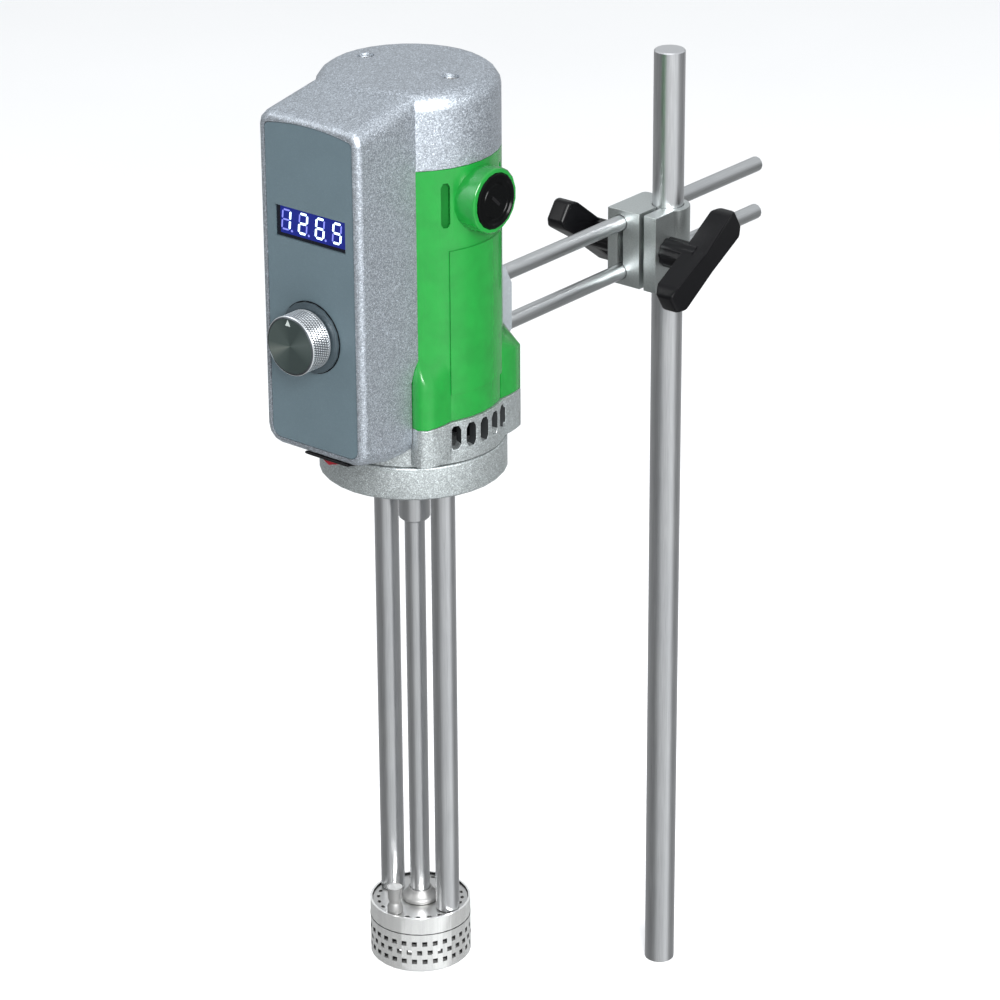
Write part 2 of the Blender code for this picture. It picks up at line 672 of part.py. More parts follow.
def make_motor_shell(parent, finish):
    shell = solid_object("motor_shell", turned(disc_profile(SHELL_RADIUS, SHELL_BOTTOM, SHELL_TOP), ROUND_LARGE),
                         parent, finish)
    joined(shell, lobes(SHELL_BOTTOM, LOBE_TOP, 0.0))
    joined(shell, side_pads())
    past = 5.0 * MM
    angles = [turn + side * SIDE_SLOT_ANGLE for turn in (0.0, math.pi) for side in (-1, 1)]
    cut(shell, radial_slots(SIDE_SLOT_WIDTH / 2, SIDE_SLOT_HEIGHT / 2, BRUSH_HEIGHT, angles,
                            SHELL_BORE_RADIUS - past, SHELL_RADIUS + past))
    bosses = []
    for direction in (TO_RIGHT, TO_LEFT):
        outer = disc_profile(BRUSH_BOSS_RADIUS, SHELL_BORE_RADIUS - MM, BRUSH_BOSS_REACH)
        outer[2:3] = [(BRUSH_BOSS_RADIUS, BRUSH_BOSS_REACH - MM), (BRUSH_BOSS_RADIUS - MM, BRUSH_BOSS_REACH)]
        bosses.append(turned(outer, ROUND_MEDIUM, moved(0.0, 0.0, BRUSH_HEIGHT) @ direction))
    joined(shell, gathered(bosses))
    cut(shell, turned(disc_profile(SHELL_BORE_RADIUS, SHELL_BOTTOM - past, SHELL_TOP + past), ROUND_LARGE))
    seats = []
    seat_floor = BRUSH_BOSS_REACH + BRUSH_CAP_PROUD - BRUSH_CAP_DEPTH - GAP
    for direction in (TO_RIGHT, TO_LEFT):
        hole = BRUSH_HOLDER_RADIUS + GAP
        seat = BRUSH_CAP_RADIUS + GAP
        profile = [(0.0, SHELL_BORE_RADIUS - past), (hole, SHELL_BORE_RADIUS - past), (hole, seat_floor),
                   (seat, seat_floor), (seat, BRUSH_BOSS_REACH + past), (0.0, BRUSH_BOSS_REACH + past)]
        seats.append(turned(profile, ROUND_MEDIUM, moved(0.0, 0.0, BRUSH_HEIGHT) @ direction))
    cut(shell, gathered(seats))


def make_end_case(parent, finish):
    low = FLANGE_THICKNESS + GAP
    high = SHELL_BOTTOM - GAP
    case = solid_object("motor_end_case", turned(disc_profile(CASE_RADIUS, low, high), ROUND_LARGE), parent, finish)
    joined(case, lobes(LOBE_BOTTOM, high, 0.0))
    past = 5.0 * MM
    floor = low + CASE_FLOOR
    profile = [(0.0, low - past), (CASE_SHAFT_HOLE_RADIUS, low - past), (CASE_SHAFT_HOLE_RADIUS, floor),
               (CASE_BORE_RADIUS, floor), (CASE_BORE_RADIUS, high + past), (0.0, high + past)]
    cut(case, turned(profile, ROUND_LARGE))
    angles = [turn + (index - (VENT_COUNT - 1) / 2) * VENT_PITCH
              for turn in (0.0, math.pi) for index in range(VENT_COUNT)]
    cut(case, radial_slots(VENT_WIDTH / 2, VENT_HEIGHT / 2, VENT_CENTRE, angles,
                           CASE_BORE_RADIUS - past, CASE_RADIUS + past))


def support_places():
    return (("support_rod_left", -SUPPORT_DISTANCE), ("support_rod_right", SUPPORT_DISTANCE))


def make_base_flange(parent, finish):
    flange = solid_object("base_flange",
                          turned(disc_profile(FLANGE_RADIUS, 0.0, FLANGE_THICKNESS, FLANGE_EDGE), ROUND_LARGE),
                          parent, finish)
    past = 5.0 * MM
    seat = BEARING_RADIUS + GAP
    profile = [(0.0, -past), (FLANGE_BORE_RADIUS, -past), (FLANGE_BORE_RADIUS, LOWER_BEARING_FLOOR),
               (seat, LOWER_BEARING_FLOOR), (seat, FLANGE_THICKNESS + past), (0.0, FLANGE_THICKNESS + past)]
    cut(flange, turned(profile, ROUND_MEDIUM))
    sockets = [turned(disc_profile(SUPPORT_RADIUS + GAP, -past, SUPPORT_SOCKET), ROUND_MEDIUM, moved(x))
               for _, x in support_places()]
    cut(flange, gathered(sockets))


# Motor inside and brush gear

def make_brush_gear(parent, surfaces):
    cap_back = BRUSH_BOSS_REACH + BRUSH_CAP_PROUD - BRUSH_CAP_DEPTH
    cap_front = BRUSH_BOSS_REACH + BRUSH_CAP_PROUD
    brush_back = COMMUTATOR_RADIUS + GAP
    brush_front = brush_back + BRUSH_LENGTH
    place = (0.0, 0.0, BRUSH_HEIGHT)
    for side, direction in (("right", TO_RIGHT), ("left", TO_LEFT)):
        rim = [(0.0, cap_back), (BRUSH_CAP_RADIUS, cap_back), (BRUSH_CAP_RADIUS, cap_front - MM),
               (BRUSH_CAP_RADIUS - MM, cap_front), (BRUSH_CAP_RADIUS - 2.4 * MM, cap_front),
               (BRUSH_CAP_RADIUS - 3.0 * MM, cap_front - 0.8 * MM), (0.0, cap_front - 0.8 * MM)]
        cap = solid_object("brush_cap_" + side, turned(rim, ROUND_MEDIUM, direction), parent,
                           surfaces["black_plastic"], place)
        slot = block((-BRUSH_CAP_SLOT / 2, -BRUSH_CAP_RADIUS + 3.4 * MM, cap_front - 2.4 * MM),
                     (BRUSH_CAP_SLOT / 2, BRUSH_CAP_RADIUS - 3.4 * MM, cap_front + MM),
                     direction @ turned_about_z(math.radians(48.0)))
        cut(cap, slot)
        bore = BRUSH_RADIUS + GAP
        holder = ring_profile(bore, BRUSH_HOLDER_RADIUS, BRUSH_HOLDER_BACK, cap_back - GAP)
        solid_object("brush_holder_" + side, turned(holder, ROUND_MEDIUM, direction), parent, surfaces["brass"], place)
        carbon = disc_profile(BRUSH_RADIUS, brush_back, brush_front)
        solid_object("brush_" + side, turned(carbon, ROUND_SMALL, direction), parent, surfaces["carbon"], place)
        make_brush_spring("brush_spring_" + side, parent, direction, brush_front + GAP, cap_back - GAP,
                          surfaces["brushed_steel"], place)


def make_brush_spring(name, parent, direction, low, high, finish, place):
    """Round wire wound in a helix between the brush and its cap."""
    radius = BRUSH_RADIUS - 2 * BRUSH_SPRING_WIRE
    steps = BRUSH_SPRING_TURNS * 8
    bottom = low + BRUSH_SPRING_WIRE
    climb = high - low - 2 * BRUSH_SPRING_WIRE
    curve = bpy.data.curves.new(name, "CURVE")
    curve.dimensions = "3D"
    curve.bevel_depth = BRUSH_SPRING_WIRE
    curve.bevel_resolution = 0
    curve.use_fill_caps = True
    wire = curve.splines.new("POLY")
    wire.points.add(steps)
    for index in range(steps + 1):
        angle = 2 * math.pi * BRUSH_SPRING_TURNS * index / steps
        local = Matrix.Translation((radius * math.cos(angle), radius * math.sin(angle),
                                    bottom + climb * index / steps))
        wire.points[index].co = (*(direction @ local).translation, 1.0)
    curve.materials.append(finish)
    spring = bpy.data.objects.new(name, curve)
    spring.location = place
    spring.parent = parent
    bpy.context.collection.objects.link(spring)


def field_window(spare):
    """Plan view of the coil spaces on the -Y and +Y sides of the field core."""
    spaces = []
    inner = ARMATURE_RADIUS + FIELD_GAP
    reach = COIL_HALF_ANGLE - spare / COIL_OUTER_RADIUS
    for centre in (-math.pi / 2, math.pi / 2):
        outline = arc(0.0, 0.0, COIL_OUTER_RADIUS - spare, centre - reach, centre + reach, 10)
        outline += arc(0.0, 0.0, inner + spare, centre + reach, centre - reach, 10)
        spaces.append(outline)
    return spaces


def make_field(parent, surfaces):
    bore = ARMATURE_RADIUS + FIELD_GAP
    ring = ring_profile(bore, SHELL_BORE_RADIUS - GAP, FIELD_BOTTOM, FIELD_TOP)
    core = solid_object("field_core", turned(ring, ROUND_LARGE), parent, surfaces["laminated_steel"])
    past = 2.0 * MM
    windows = []
    for outline in field_window(0.0):
        window = [(x, y) if math.hypot(x, y) > bore + MM else (x * 0.9, y * 0.9) for x, y in outline]
        windows.append(prism(window, FIELD_BOTTOM - past, FIELD_TOP + past))
    cut(core, gathered(windows))
    for name, outline in zip(("field_coil_front", "field_coil_back"), field_window(GAP)):
        coil = prism(outline, FIELD_BOTTOM - COIL_OVERHANG, FIELD_TOP + COIL_OVERHANG, chamfer=MM)
        solid_object(name, coil, parent, surfaces["copper"])


def make_bearings(parent, finish):
    for name, low in (("lower_bearing", LOWER_BEARING_FLOOR + GAP),
                      ("upper_bearing", UPPER_BEARING_TOP - BEARING_HEIGHT)):
        race = ring_profile(MOTOR_SHAFT_RADIUS + GAP, BEARING_RADIUS, low, low + BEARING_HEIGHT)
        solid_object(name, turned(race, ROUND_MEDIUM), parent, finish)


def armature_outline():
    points = []
    pitch = 2 * math.pi / ARMATURE_SLOTS
    mouth = ARMATURE_SLOT_WIDTH / ARMATURE_RADIUS / 2
    depth = ARMATURE_RADIUS - ARMATURE_SLOT_DEPTH
    foot = ARMATURE_SLOT_WIDTH / depth / 2
    for index in range(ARMATURE_SLOTS):
        centre = index * pitch
        points += arc(0.0, 0.0, depth, centre - foot, centre + foot, 1)
        points += arc(0.0, 0.0, ARMATURE_RADIUS, centre + mouth, centre + pitch - mouth, 3)
    return points


def make_armature(parent, surfaces):
    shaft = disc_profile(MOTOR_SHAFT_RADIUS, MOTOR_SHAFT_BOTTOM, MOTOR_SHAFT_TOP, ROD_END_CHAMFER)
    solid_object("motor_shaft", turned(shaft, ROUND_SMALL), parent, surfaces["brushed_steel"])
    bore = MOTOR_SHAFT_RADIUS + GAP
    core = solid_object("armature_core", prism(armature_outline(), ARMATURE_BOTTOM, ARMATURE_TOP),
                        parent, surfaces["laminated_steel"])
    cut(core, turned(disc_profile(bore, ARMATURE_BOTTOM - MM, ARMATURE_TOP + MM), ROUND_SMALL))
    half = COMMUTATOR_LENGTH / 2
    bars = ring_profile(bore, COMMUTATOR_RADIUS, BRUSH_HEIGHT - half, BRUSH_HEIGHT + half)
    solid_object("commutator", turned(bars, ROUND_MEDIUM), parent, surfaces["copper"])
    plate = [(bore, FAN_BOTTOM), (FAN_HUB_RADIUS, FAN_BOTTOM), (FAN_HUB_RADIUS, FAN_TOP - FAN_PLATE),
             (FAN_RADIUS, FAN_TOP - FAN_PLATE), (FAN_RADIUS, FAN_TOP), (bore, FAN_TOP)]
    fan = solid_object("cooling_fan", turned(plate, ROUND_MEDIUM), parent, surfaces["black_plastic"])
    half = FAN_BLADE_THICKNESS / 2
    blades = []
    for index in range(FAN_BLADES):
        place = turned_about_z(2 * math.pi * index / FAN_BLADES)
        blades.append(block((FAN_HUB_RADIUS - 2.0 * MM, -half, FAN_BOTTOM + MM),
                            (FAN_RADIUS - MM, half, FAN_TOP - FAN_PLATE / 2), place))
    joined(fan, gathered(blades))


# Control housing and what it carries

def box_section(inset, y):
    """Front view of the control box at one depth: round corners and a slightly crowned top."""
    half = BOX_HALF_WIDTH - inset
    back_share = (BOX_FRONT + y) / (BOX_FRONT - BOX_BACK)
    top = BOX_FRONT_TOP + (BOX_BACK_TOP - BOX_FRONT_TOP) * back_share - inset
    knee_share = min(1.0, (BOX_FRONT + y) / (BOX_FRONT - BOX_KNEE))
    low = BOX_FRONT_BOTTOM + (BOX_KNEE_HEIGHT - BOX_FRONT_BOTTOM) * knee_share + inset
    steps = 3
    spread = BOX_TOP_FILLET - inset
    corner = BOX_CORNER - inset
    outline = arc(-half + corner, low + corner, corner, math.pi, 1.5 * math.pi, steps)
    outline += arc(half - corner, low + corner, corner, 1.5 * math.pi, 2 * math.pi, steps)
    outline += arc(half - spread, top - spread, spread, 0.0, math.pi / 2, steps)
    outline.append((0.0, top + BOX_TOP_CROWN))
    outline += arc(-half + spread, top - spread, spread, math.pi / 2, math.pi, steps)
    return [(x, y, z) for x, z in outline]


def make_control_housing(parent, finish):
    """Round cap over the motor and the control box in front of it, cast as one."""
    stations = [(BOX_FILLET * (1 - math.sin(angle)), -BOX_FRONT + BOX_FILLET * (1 - math.cos(angle)))
                for angle in (0.0, math.pi / 6, math.pi / 3, math.pi / 2)]
    stations += [(0.0, -BOX_KNEE), (0.0, -BOX_BACK)]
    box = lofted([box_section(inset, y) for inset, y in stations])
    housing = solid_object("control_housing", box, parent, finish)
    cap_low = SHELL_TOP + GAP
    rim = SHELL_RADIUS - CAP_FILLET
    cap = [(0.0, cap_low), (SHELL_RADIUS, cap_low)]
    cap += arc(rim, CAP_TOP - CAP_FILLET, CAP_FILLET, 0.0, math.pi / 2, 4)
    cap.append((rim / 2, CAP_TOP + CAP_CROWN * 0.75))
    cap.append((0.0, CAP_TOP + CAP_CROWN))
    joined(housing, turned(cap, ROUND_LARGE))
    step = SHELL_BOTTOM + GAP
    low = LOBE_BOTTOM - CUT_SPARE
    envelope = [(0.0, low), (CASE_RADIUS + GAP, low), (CASE_RADIUS + GAP, step),
                (SHELL_RADIUS + GAP, step), (SHELL_RADIUS + GAP, cap_low), (0.0, cap_low)]
    cut(housing, turned(envelope, ROUND_LARGE))
    cut(housing, lobes(low, LOBE_TOP, GAP, (-1,)))
    recess = prism(panel_outline(GAP), BOX_FRONT - PANEL_SINK - PANEL_THICKNESS - GAP,
                   BOX_FRONT + 2.0 * MM, TO_FRONT)
    cut(housing, recess)
    cavity_back = CASE_RADIUS + GAP + BOX_WALL / 2
    inner = PANEL_HALF_WIDTH - BOX_WALL / 2
    cut(housing, block((-inner, -BOX_FRONT, PANEL_BOTTOM + BOX_WALL),
                       (inner, -cavity_back, PANEL_SIDE_TOP - BOX_WALL)))
    seat = BEARING_RADIUS + GAP
    pocket = [(0.0, cap_low - 2.0 * MM), (seat, cap_low - 2.0 * MM), (seat, UPPER_BEARING_TOP + GAP),
              (MOTOR_SHAFT_RADIUS + GAP, UPPER_BEARING_TOP + GAP),
              (MOTOR_SHAFT_RADIUS + GAP, MOTOR_SHAFT_TOP + GAP), (0.0, MOTOR_SHAFT_TOP + GAP)]
    cut(housing, turned(pocket, ROUND_MEDIUM))
    cut(housing, gathered([cap_screw_hole(side) for side in (-1, 1)]))
    cut(housing, switch_body(GAP))


def cap_screw_floor():
    return CAP_TOP + CAP_CROWN / 2 - CAP_SCREW_SINK - CAP_SCREW_HEAD_HEIGHT


def cap_screw_hole(side):
    floor = cap_screw_floor() - GAP
    head = CAP_SCREW_HEAD_RADIUS + GAP
    shank = CAP_SCREW_SHANK_RADIUS + GAP
    tip = cap_screw_floor() - CAP_SCREW_LENGTH - GAP
    profile = [(0.0, tip), (shank, tip), (shank, floor), (head, floor),
               (head, CAP_TOP + 5.0 * MM), (0.0, CAP_TOP + 5.0 * MM)]
    return turned(profile, ROUND_SMALL, moved(side * CAP_SCREW_DISTANCE))


def make_cap_screws(parent, finish):
    floor = cap_screw_floor()
    top = floor + CAP_SCREW_HEAD_HEIGHT
    for name, side in (("cap_screw_left", -1), ("cap_screw_right", 1)):
        profile = [(0.0, floor - CAP_SCREW_LENGTH), (CAP_SCREW_SHANK_RADIUS, floor - CAP_SCREW_LENGTH),
                   (CAP_SCREW_SHANK_RADIUS, floor), (CAP_SCREW_HEAD_RADIUS, floor),
                   (CAP_SCREW_HEAD_RADIUS, top - 0.5 * MM), (CAP_SCREW_HEAD_RADIUS - 0.8 * MM, top),
                   (0.0, top)]
        screw = solid_object(name, turned(profile, ROUND_SMALL), parent, finish, (side * CAP_SCREW_DISTANCE, 0.0, 0.0))
        socket = arc(0.0, 0.0, CAP_SCREW_SOCKET_RADIUS, 0.0, 2 * math.pi * 5 / 6, 5)
        cut(screw, prism(socket, top - 1.4 * MM, top + MM))


def panel_face():
    return BOX_FRONT - PANEL_SINK


def panel_back():
    return panel_face() - PANEL_THICKNESS


def make_front_panel(parent, finish):
    panel = solid_object("front_panel", prism(panel_outline(0.0), panel_back(), panel_face(), TO_FRONT),
                         parent, finish)
    past = 2.0 * MM
    window = rectangle(DISPLAY_X - DISPLAY_HALF_WIDTH, DISPLAY_X + DISPLAY_HALF_WIDTH,
                       DISPLAY_BOTTOM, DISPLAY_TOP)
    hole = disc_profile(ENCODER_BUSH_RADIUS + GAP, panel_back() - past, panel_face() + past)
    cut(panel, gathered([prism(window, panel_back() - past, panel_face() + past, TO_FRONT),
                         turned(hole, ROUND_SMALL, moved(KNOB_X, 0.0, KNOB_Z) @ TO_FRONT)]))


def make_display(parent, finish):
    back = panel_back() - GAP
    base = rectangle(DISPLAY_X - DISPLAY_HALF_WIDTH - DISPLAY_FRAME, DISPLAY_X + DISPLAY_HALF_WIDTH
                     + DISPLAY_FRAME, DISPLAY_BOTTOM - DISPLAY_FRAME, DISPLAY_TOP + DISPLAY_FRAME)
    module = solid_object("display_module", prism(base, back - DISPLAY_DEPTH, back, TO_FRONT),
                          parent, finish)
    glass = rectangle(DISPLAY_X - DISPLAY_HALF_WIDTH + GAP, DISPLAY_X + DISPLAY_HALF_WIDTH - GAP,
                      DISPLAY_BOTTOM + GAP, DISPLAY_TOP - GAP)
    joined(module, prism(glass, back - DISPLAY_FRAME, panel_face() - DISPLAY_SINK, TO_FRONT))


def make_control_board(parent, finish):
    back = CASE_RADIUS + GAP + BOX_WALL / 2 + GAP
    board = rectangle(-BOARD_HALF_WIDTH, BOARD_HALF_WIDTH, BOARD_BOTTOM, BOARD_TOP)
    solid_object("control_board", prism(board, back, back + BOARD_THICKNESS, TO_FRONT), parent, finish)


def knob_back():
    return panel_face() + 2 * GAP + SEAT_RING_THICKNESS + KNOB_PUSH


def make_encoder(parent, surfaces):
    place = (KNOB_X, 0.0, KNOB_Z)
    back = panel_back() - GAP
    half = ENCODER_HALF_SIZE
    body = solid_object("encoder_body",
                        prism(rectangle(-half, half, -half, half), back - ENCODER_DEPTH, back, TO_FRONT),
                        parent, surfaces["black_plastic"], place)
    joined(body, turned(disc_profile(ENCODER_BUSH_RADIUS, back - MM, panel_face() + GAP), ROUND_SMALL, TO_FRONT))
    bore = disc_profile(ENCODER_SHAFT_RADIUS + GAP, back - ENCODER_DEPTH + 2.0 * MM, panel_face() + MM)
    cut(body, turned(bore, ROUND_SMALL, TO_FRONT))
    ring = ring_profile(ENCODER_BUSH_RADIUS + GAP, SEAT_RING_RADIUS, panel_face() + GAP,
                        panel_face() + GAP + SEAT_RING_THICKNESS)
    solid_object("knob_seat_ring", turned(ring, ROUND_MEDIUM, TO_FRONT), parent, surfaces["panel_grey"], place)


def make_encoder_shaft(parent, finish):
    front = knob_back() + KNOB_BORE_DEPTH - GAP
    profile = disc_profile(ENCODER_SHAFT_RADIUS, front - ENCODER_SHAFT_LENGTH, front)
    solid_object("encoder_shaft", turned(profile, ROUND_SMALL, TO_FRONT), parent, finish)


def make_speed_knob(parent, finish):
    back = knob_back()
    front = back + KNOB_LENGTH
    points = []
    for index in range(2 * KNOB_KNURLS):
        angle = math.pi * index / KNOB_KNURLS
        radius = KNOB_RADIUS - (index % 2) * KNOB_KNURL_DEPTH
        points.append((radius * math.cos(angle), radius * math.sin(angle)))
    knob = solid_object("speed_knob", prism(points, back, front, TO_FRONT, KNOB_EDGE), parent, finish)
    dish = [(0.0, front - KNOB_DISH), (KNOB_RADIUS - 2.5 * MM, front - KNOB_DISH),
            (KNOB_RADIUS - 2.0 * MM, front + MM), (0.0, front + MM)]
    cut(knob, turned(dish, ROUND_MEDIUM, TO_FRONT))
    bore = disc_profile(ENCODER_SHAFT_RADIUS + GAP, back - MM, back + KNOB_BORE_DEPTH)
    cut(knob, turned(bore, ROUND_SMALL, TO_FRONT))


def switch_slope():
    return math.atan2(BOX_FRONT_BOTTOM - BOX_KNEE_HEIGHT, BOX_FRONT - BOX_KNEE)


def switch_place():
    """Centre of the switch opening on the sloping underside, its local Z pointing up and in."""
    rise = (SWITCH_FRONT_EDGE - BOX_KNEE) * math.tan(switch_slope())
    return (SWITCH_X, -SWITCH_FRONT_EDGE, BOX_KNEE_HEIGHT + rise)


def switch_matrix():
    return Matrix.Translation(switch_place()) @ Matrix.Rotation(-switch_slope(), 4, "X")


def switch_body(spare):
    length = SWITCH_BODY_LENGTH / 2 + spare
    width = SWITCH_BODY_WIDTH / 2 + spare
    return block((-length, -width, -2.0 * MM), (length, width, SWITCH_BODY_HEIGHT + spare), switch_matrix())


def make_switch(parent, surfaces):
    body = solid_object("switch_body", switch_body(0.0), parent, surfaces["black_plastic"])
    length = SWITCH_BEZEL_LENGTH / 2
    width = SWITCH_BEZEL_WIDTH / 2
    bezel = prism(rectangle(-length, length, -width, width), -GAP - SWITCH_BEZEL_THICKNESS, -GAP,
                  switch_matrix(), 0.4 * MM)
    joined(body, bezel)
    length = ROCKER_LENGTH / 2 + 2 * GAP
    width = ROCKER_WIDTH / 2 + GAP
    cut(body, block((-length, -width, -5.0 * MM), (length, width, ROCKER_POCKET_DEPTH), switch_matrix()))


def make_power_rocker(parent, finish):
    """Two sloping faces that meet at a ridge, tipped on its pin with the +X end down."""
    half = ROCKER_LENGTH / 2
    outline = [(-half, ROCKER_DEPTH), (-half, -ROCKER_END_RISE), (0.0, -ROCKER_RIDGE),
               (half, -ROCKER_END_RISE), (half, ROCKER_DEPTH)]
    width = ROCKER_WIDTH / 2
    tip = Matrix.Rotation(-switch_slope(), 4, "X") @ Matrix.Rotation(ROCKER_TILT, 4, "Y")
    solid_object("power_rocker", prism(outline, -width, width, tip @ TO_FRONT, 0.3 * MM), parent, finish)


# Support rods and working head

def plate_top():
    return HEAD_TOP - PLATE_SINK


def make_support_rods(parent, finish):
    for name, x in support_places():
        profile = disc_profile(SUPPORT_RADIUS, plate_top() + GAP, SUPPORT_SOCKET - GAP, ROD_END_CHAMFER)
        solid_object(name, turned(profile, ROUND_MEDIUM), parent, finish, (x, 0.0, 0.0))


def make_head_plate(parent, finish):
    radius = HEAD_RADIUS - HEAD_RIM_WALL - GAP
    ring = ring_profile(BUSH_SPIGOT_RADIUS + GAP, radius, plate_top() - PLATE_THICKNESS, plate_top())
    plate = solid_object("head_plate", turned(ring, ROUND_HEAD), parent, finish)
    holes = []
    for quarter in range(4):
        for degrees in PLATE_HOLE_ANGLES:
            sign = 1 if quarter % 2 == 0 else -1
            angle = (quarter // 2) * math.pi + sign * math.radians(degrees)
            place = turned_about_z(angle) @ moved(PLATE_HOLE_DISTANCE)
            outline = capsule(PLATE_HOLE_WIDTH / 2, PLATE_HOLE_LENGTH / 2, steps=2)
            holes.append(prism(outline, plate_top() - PLATE_THICKNESS - MM, plate_top() + MM, place))
    cut(plate, gathered(holes))


def make_shaft_bush(parent, finish):
    base = plate_top() + GAP
    bore = DRIVE_SHAFT_RADIUS + GAP
    top = base + BUSH_FLANGE_HEIGHT + BUSH_DOME_HEIGHT
    bottom = plate_top() - PLATE_THICKNESS - MM
    profile = [(bore, bottom), (BUSH_SPIGOT_RADIUS, bottom), (BUSH_SPIGOT_RADIUS, base),
               (BUSH_FLANGE_RADIUS, base), (BUSH_FLANGE_RADIUS, base + BUSH_FLANGE_HEIGHT * 0.6),
               (BUSH_FLANGE_RADIUS - 0.8 * MM, base + BUSH_FLANGE_HEIGHT)]
    profile += [(BUSH_SPIGOT_RADIUS, base + BUSH_FLANGE_HEIGHT + BUSH_DOME_HEIGHT * 0.2),
                (bore + BUSH_WALL + MM * 0.4, top - BUSH_DOME_HEIGHT * 0.3), (bore + BUSH_WALL, top),
                (bore, top)]
    solid_object("shaft_bush", turned(profile, ROUND_MEDIUM), parent, finish)


def make_stud_nuts(parent, finish):
    base = plate_top() + GAP
    top = base + STUD_HEIGHT
    profile = [(0.0, base), (STUD_RADIUS, base), (STUD_RADIUS, base + STUD_HEIGHT * 0.22),
               (STUD_WAIST_RADIUS, base + STUD_HEIGHT * 0.36), (STUD_WAIST_RADIUS, base + STUD_HEIGHT * 0.42),
               (STUD_RADIUS * 0.9, base + STUD_HEIGHT * 0.54), (STUD_RADIUS * 0.9, top - MM),
               (STUD_RADIUS, top - 0.6 * MM), (STUD_RADIUS, top), (STUD_RADIUS * 0.6, top - 0.4 * MM),
               (0.0, top - 0.4 * MM)]
    for name, y in (("stud_nut_front", -STUD_DISTANCE), ("stud_nut_back", STUD_DISTANCE)):
        solid_object(name, turned(profile, ROUND_SMALL), parent, finish, (0.0, y, 0.0))


def make_stator(parent, finish):
    """Perforated cup: plain rim band, three staggered rows of square holes, inlet lip below."""
    low = HEAD_TOP - HEAD_HEIGHT
    step = plate_top() - PLATE_THICKNESS - GAP
    wall = HEAD_RADIUS - HEAD_WALL
    rim = HEAD_RADIUS - HEAD_RIM_WALL
    profile = [(rim, HEAD_TOP), (rim, step), (wall, step), (wall, low + HEAD_LIP),
               (INLET_RADIUS, low + HEAD_LIP), (INLET_RADIUS, low), (HEAD_RADIUS - HEAD_EDGE, low),
               (HEAD_RADIUS, low + HEAD_EDGE), (HEAD_RADIUS, HEAD_TOP)]
    stator = solid_object("stator", turned(profile, ROUND_HEAD), parent, finish)
    half = HOLE_SIZE / 2
    holes = []
    pitch = 2 * math.pi / HOLE_COLUMNS
    for row in range(HOLE_ROWS):
        height = HEAD_TOP - HOLE_FIRST_ROW - row * HOLE_ROW_PITCH
        for column in range(HOLE_COLUMNS):
            angle = (column + 0.5 * (row % 2) + 0.25) * pitch
            outline = rectangle(-half, half, height - half, height + half)
            holes.append(prism(outline, wall - 2.0 * MM, HEAD_RADIUS + 2.0 * MM,
                               turned_about_z(angle) @ SIDE_OUTLINE))
    cut(stator, gathered(holes))


def rotor_top():
    return plate_top() - PLATE_THICKNESS - ROTOR_TOP_GAP


def rotor_bottom():
    return HEAD_TOP - HEAD_HEIGHT + HEAD_LIP + ROTOR_BOTTOM_GAP


def make_drive_line(parent, surfaces):
    middle = MOTOR_SHAFT_BOTTOM - GAP
    outer = COUPLING_RADIUS
    shaft_bore = DRIVE_SHAFT_RADIUS + GAP
    motor_bore = MOTOR_SHAFT_RADIUS + GAP
    sleeve = [(motor_bore, COUPLING_TOP), (motor_bore, middle), (shaft_bore, middle),
              (shaft_bore, COUPLING_BOTTOM), (outer - COUPLING_EDGE, COUPLING_BOTTOM),
              (outer, COUPLING_BOTTOM + COUPLING_EDGE), (outer, COUPLING_TOP)]
    solid_object("shaft_coupling", turned(sleeve, ROUND_MEDIUM), parent, surfaces["brushed_steel"])
    shaft = disc_profile(DRIVE_SHAFT_RADIUS, rotor_bottom(), middle - GAP)
    solid_object("drive_shaft", turned(shaft, ROUND_MEDIUM), parent, surfaces["brushed_steel"])
    hub = ring_profile(shaft_bore, ROTOR_HUB_RADIUS, rotor_bottom(), rotor_top())
    rotor = solid_object("rotor", turned(hub, ROUND_MEDIUM), parent, surfaces["polished_steel"])
    joined(rotor, gathered([rotor_blade(index) for index in range(ROTOR_BLADES)]))


def rotor_blade(index):
    """Blade that sweeps back from the hub, with an edge that runs close to the stator wall."""
    near = ROTOR_HUB_RADIUS - MM
    far = HEAD_RADIUS - HEAD_WALL - ROTOR_RUNNING_GAP
    steps = 5
    leading = []
    trailing = []
    for step in range(steps + 1):
        share = step / steps
        radius = near + (far - near) * share
        angle = ROTOR_BLADE_SWEEP * share * share
        half = ROTOR_BLADE_THICKNESS / radius / 2
        leading.append((radius * math.cos(angle + half), radius * math.sin(angle + half)))
        trailing.append((radius * math.cos(angle - half), radius * math.sin(angle - half)))
    outline = trailing + leading[::-1]
    return prism(outline, rotor_bottom() + MM, rotor_top() - MM,
                 turned_about_z(2 * math.pi * index / ROTOR_BLADES))


# Assembly

def clear_scene():
    for item in list(bpy.data.objects):
        bpy.data.objects.remove(item, do_unlink=True)


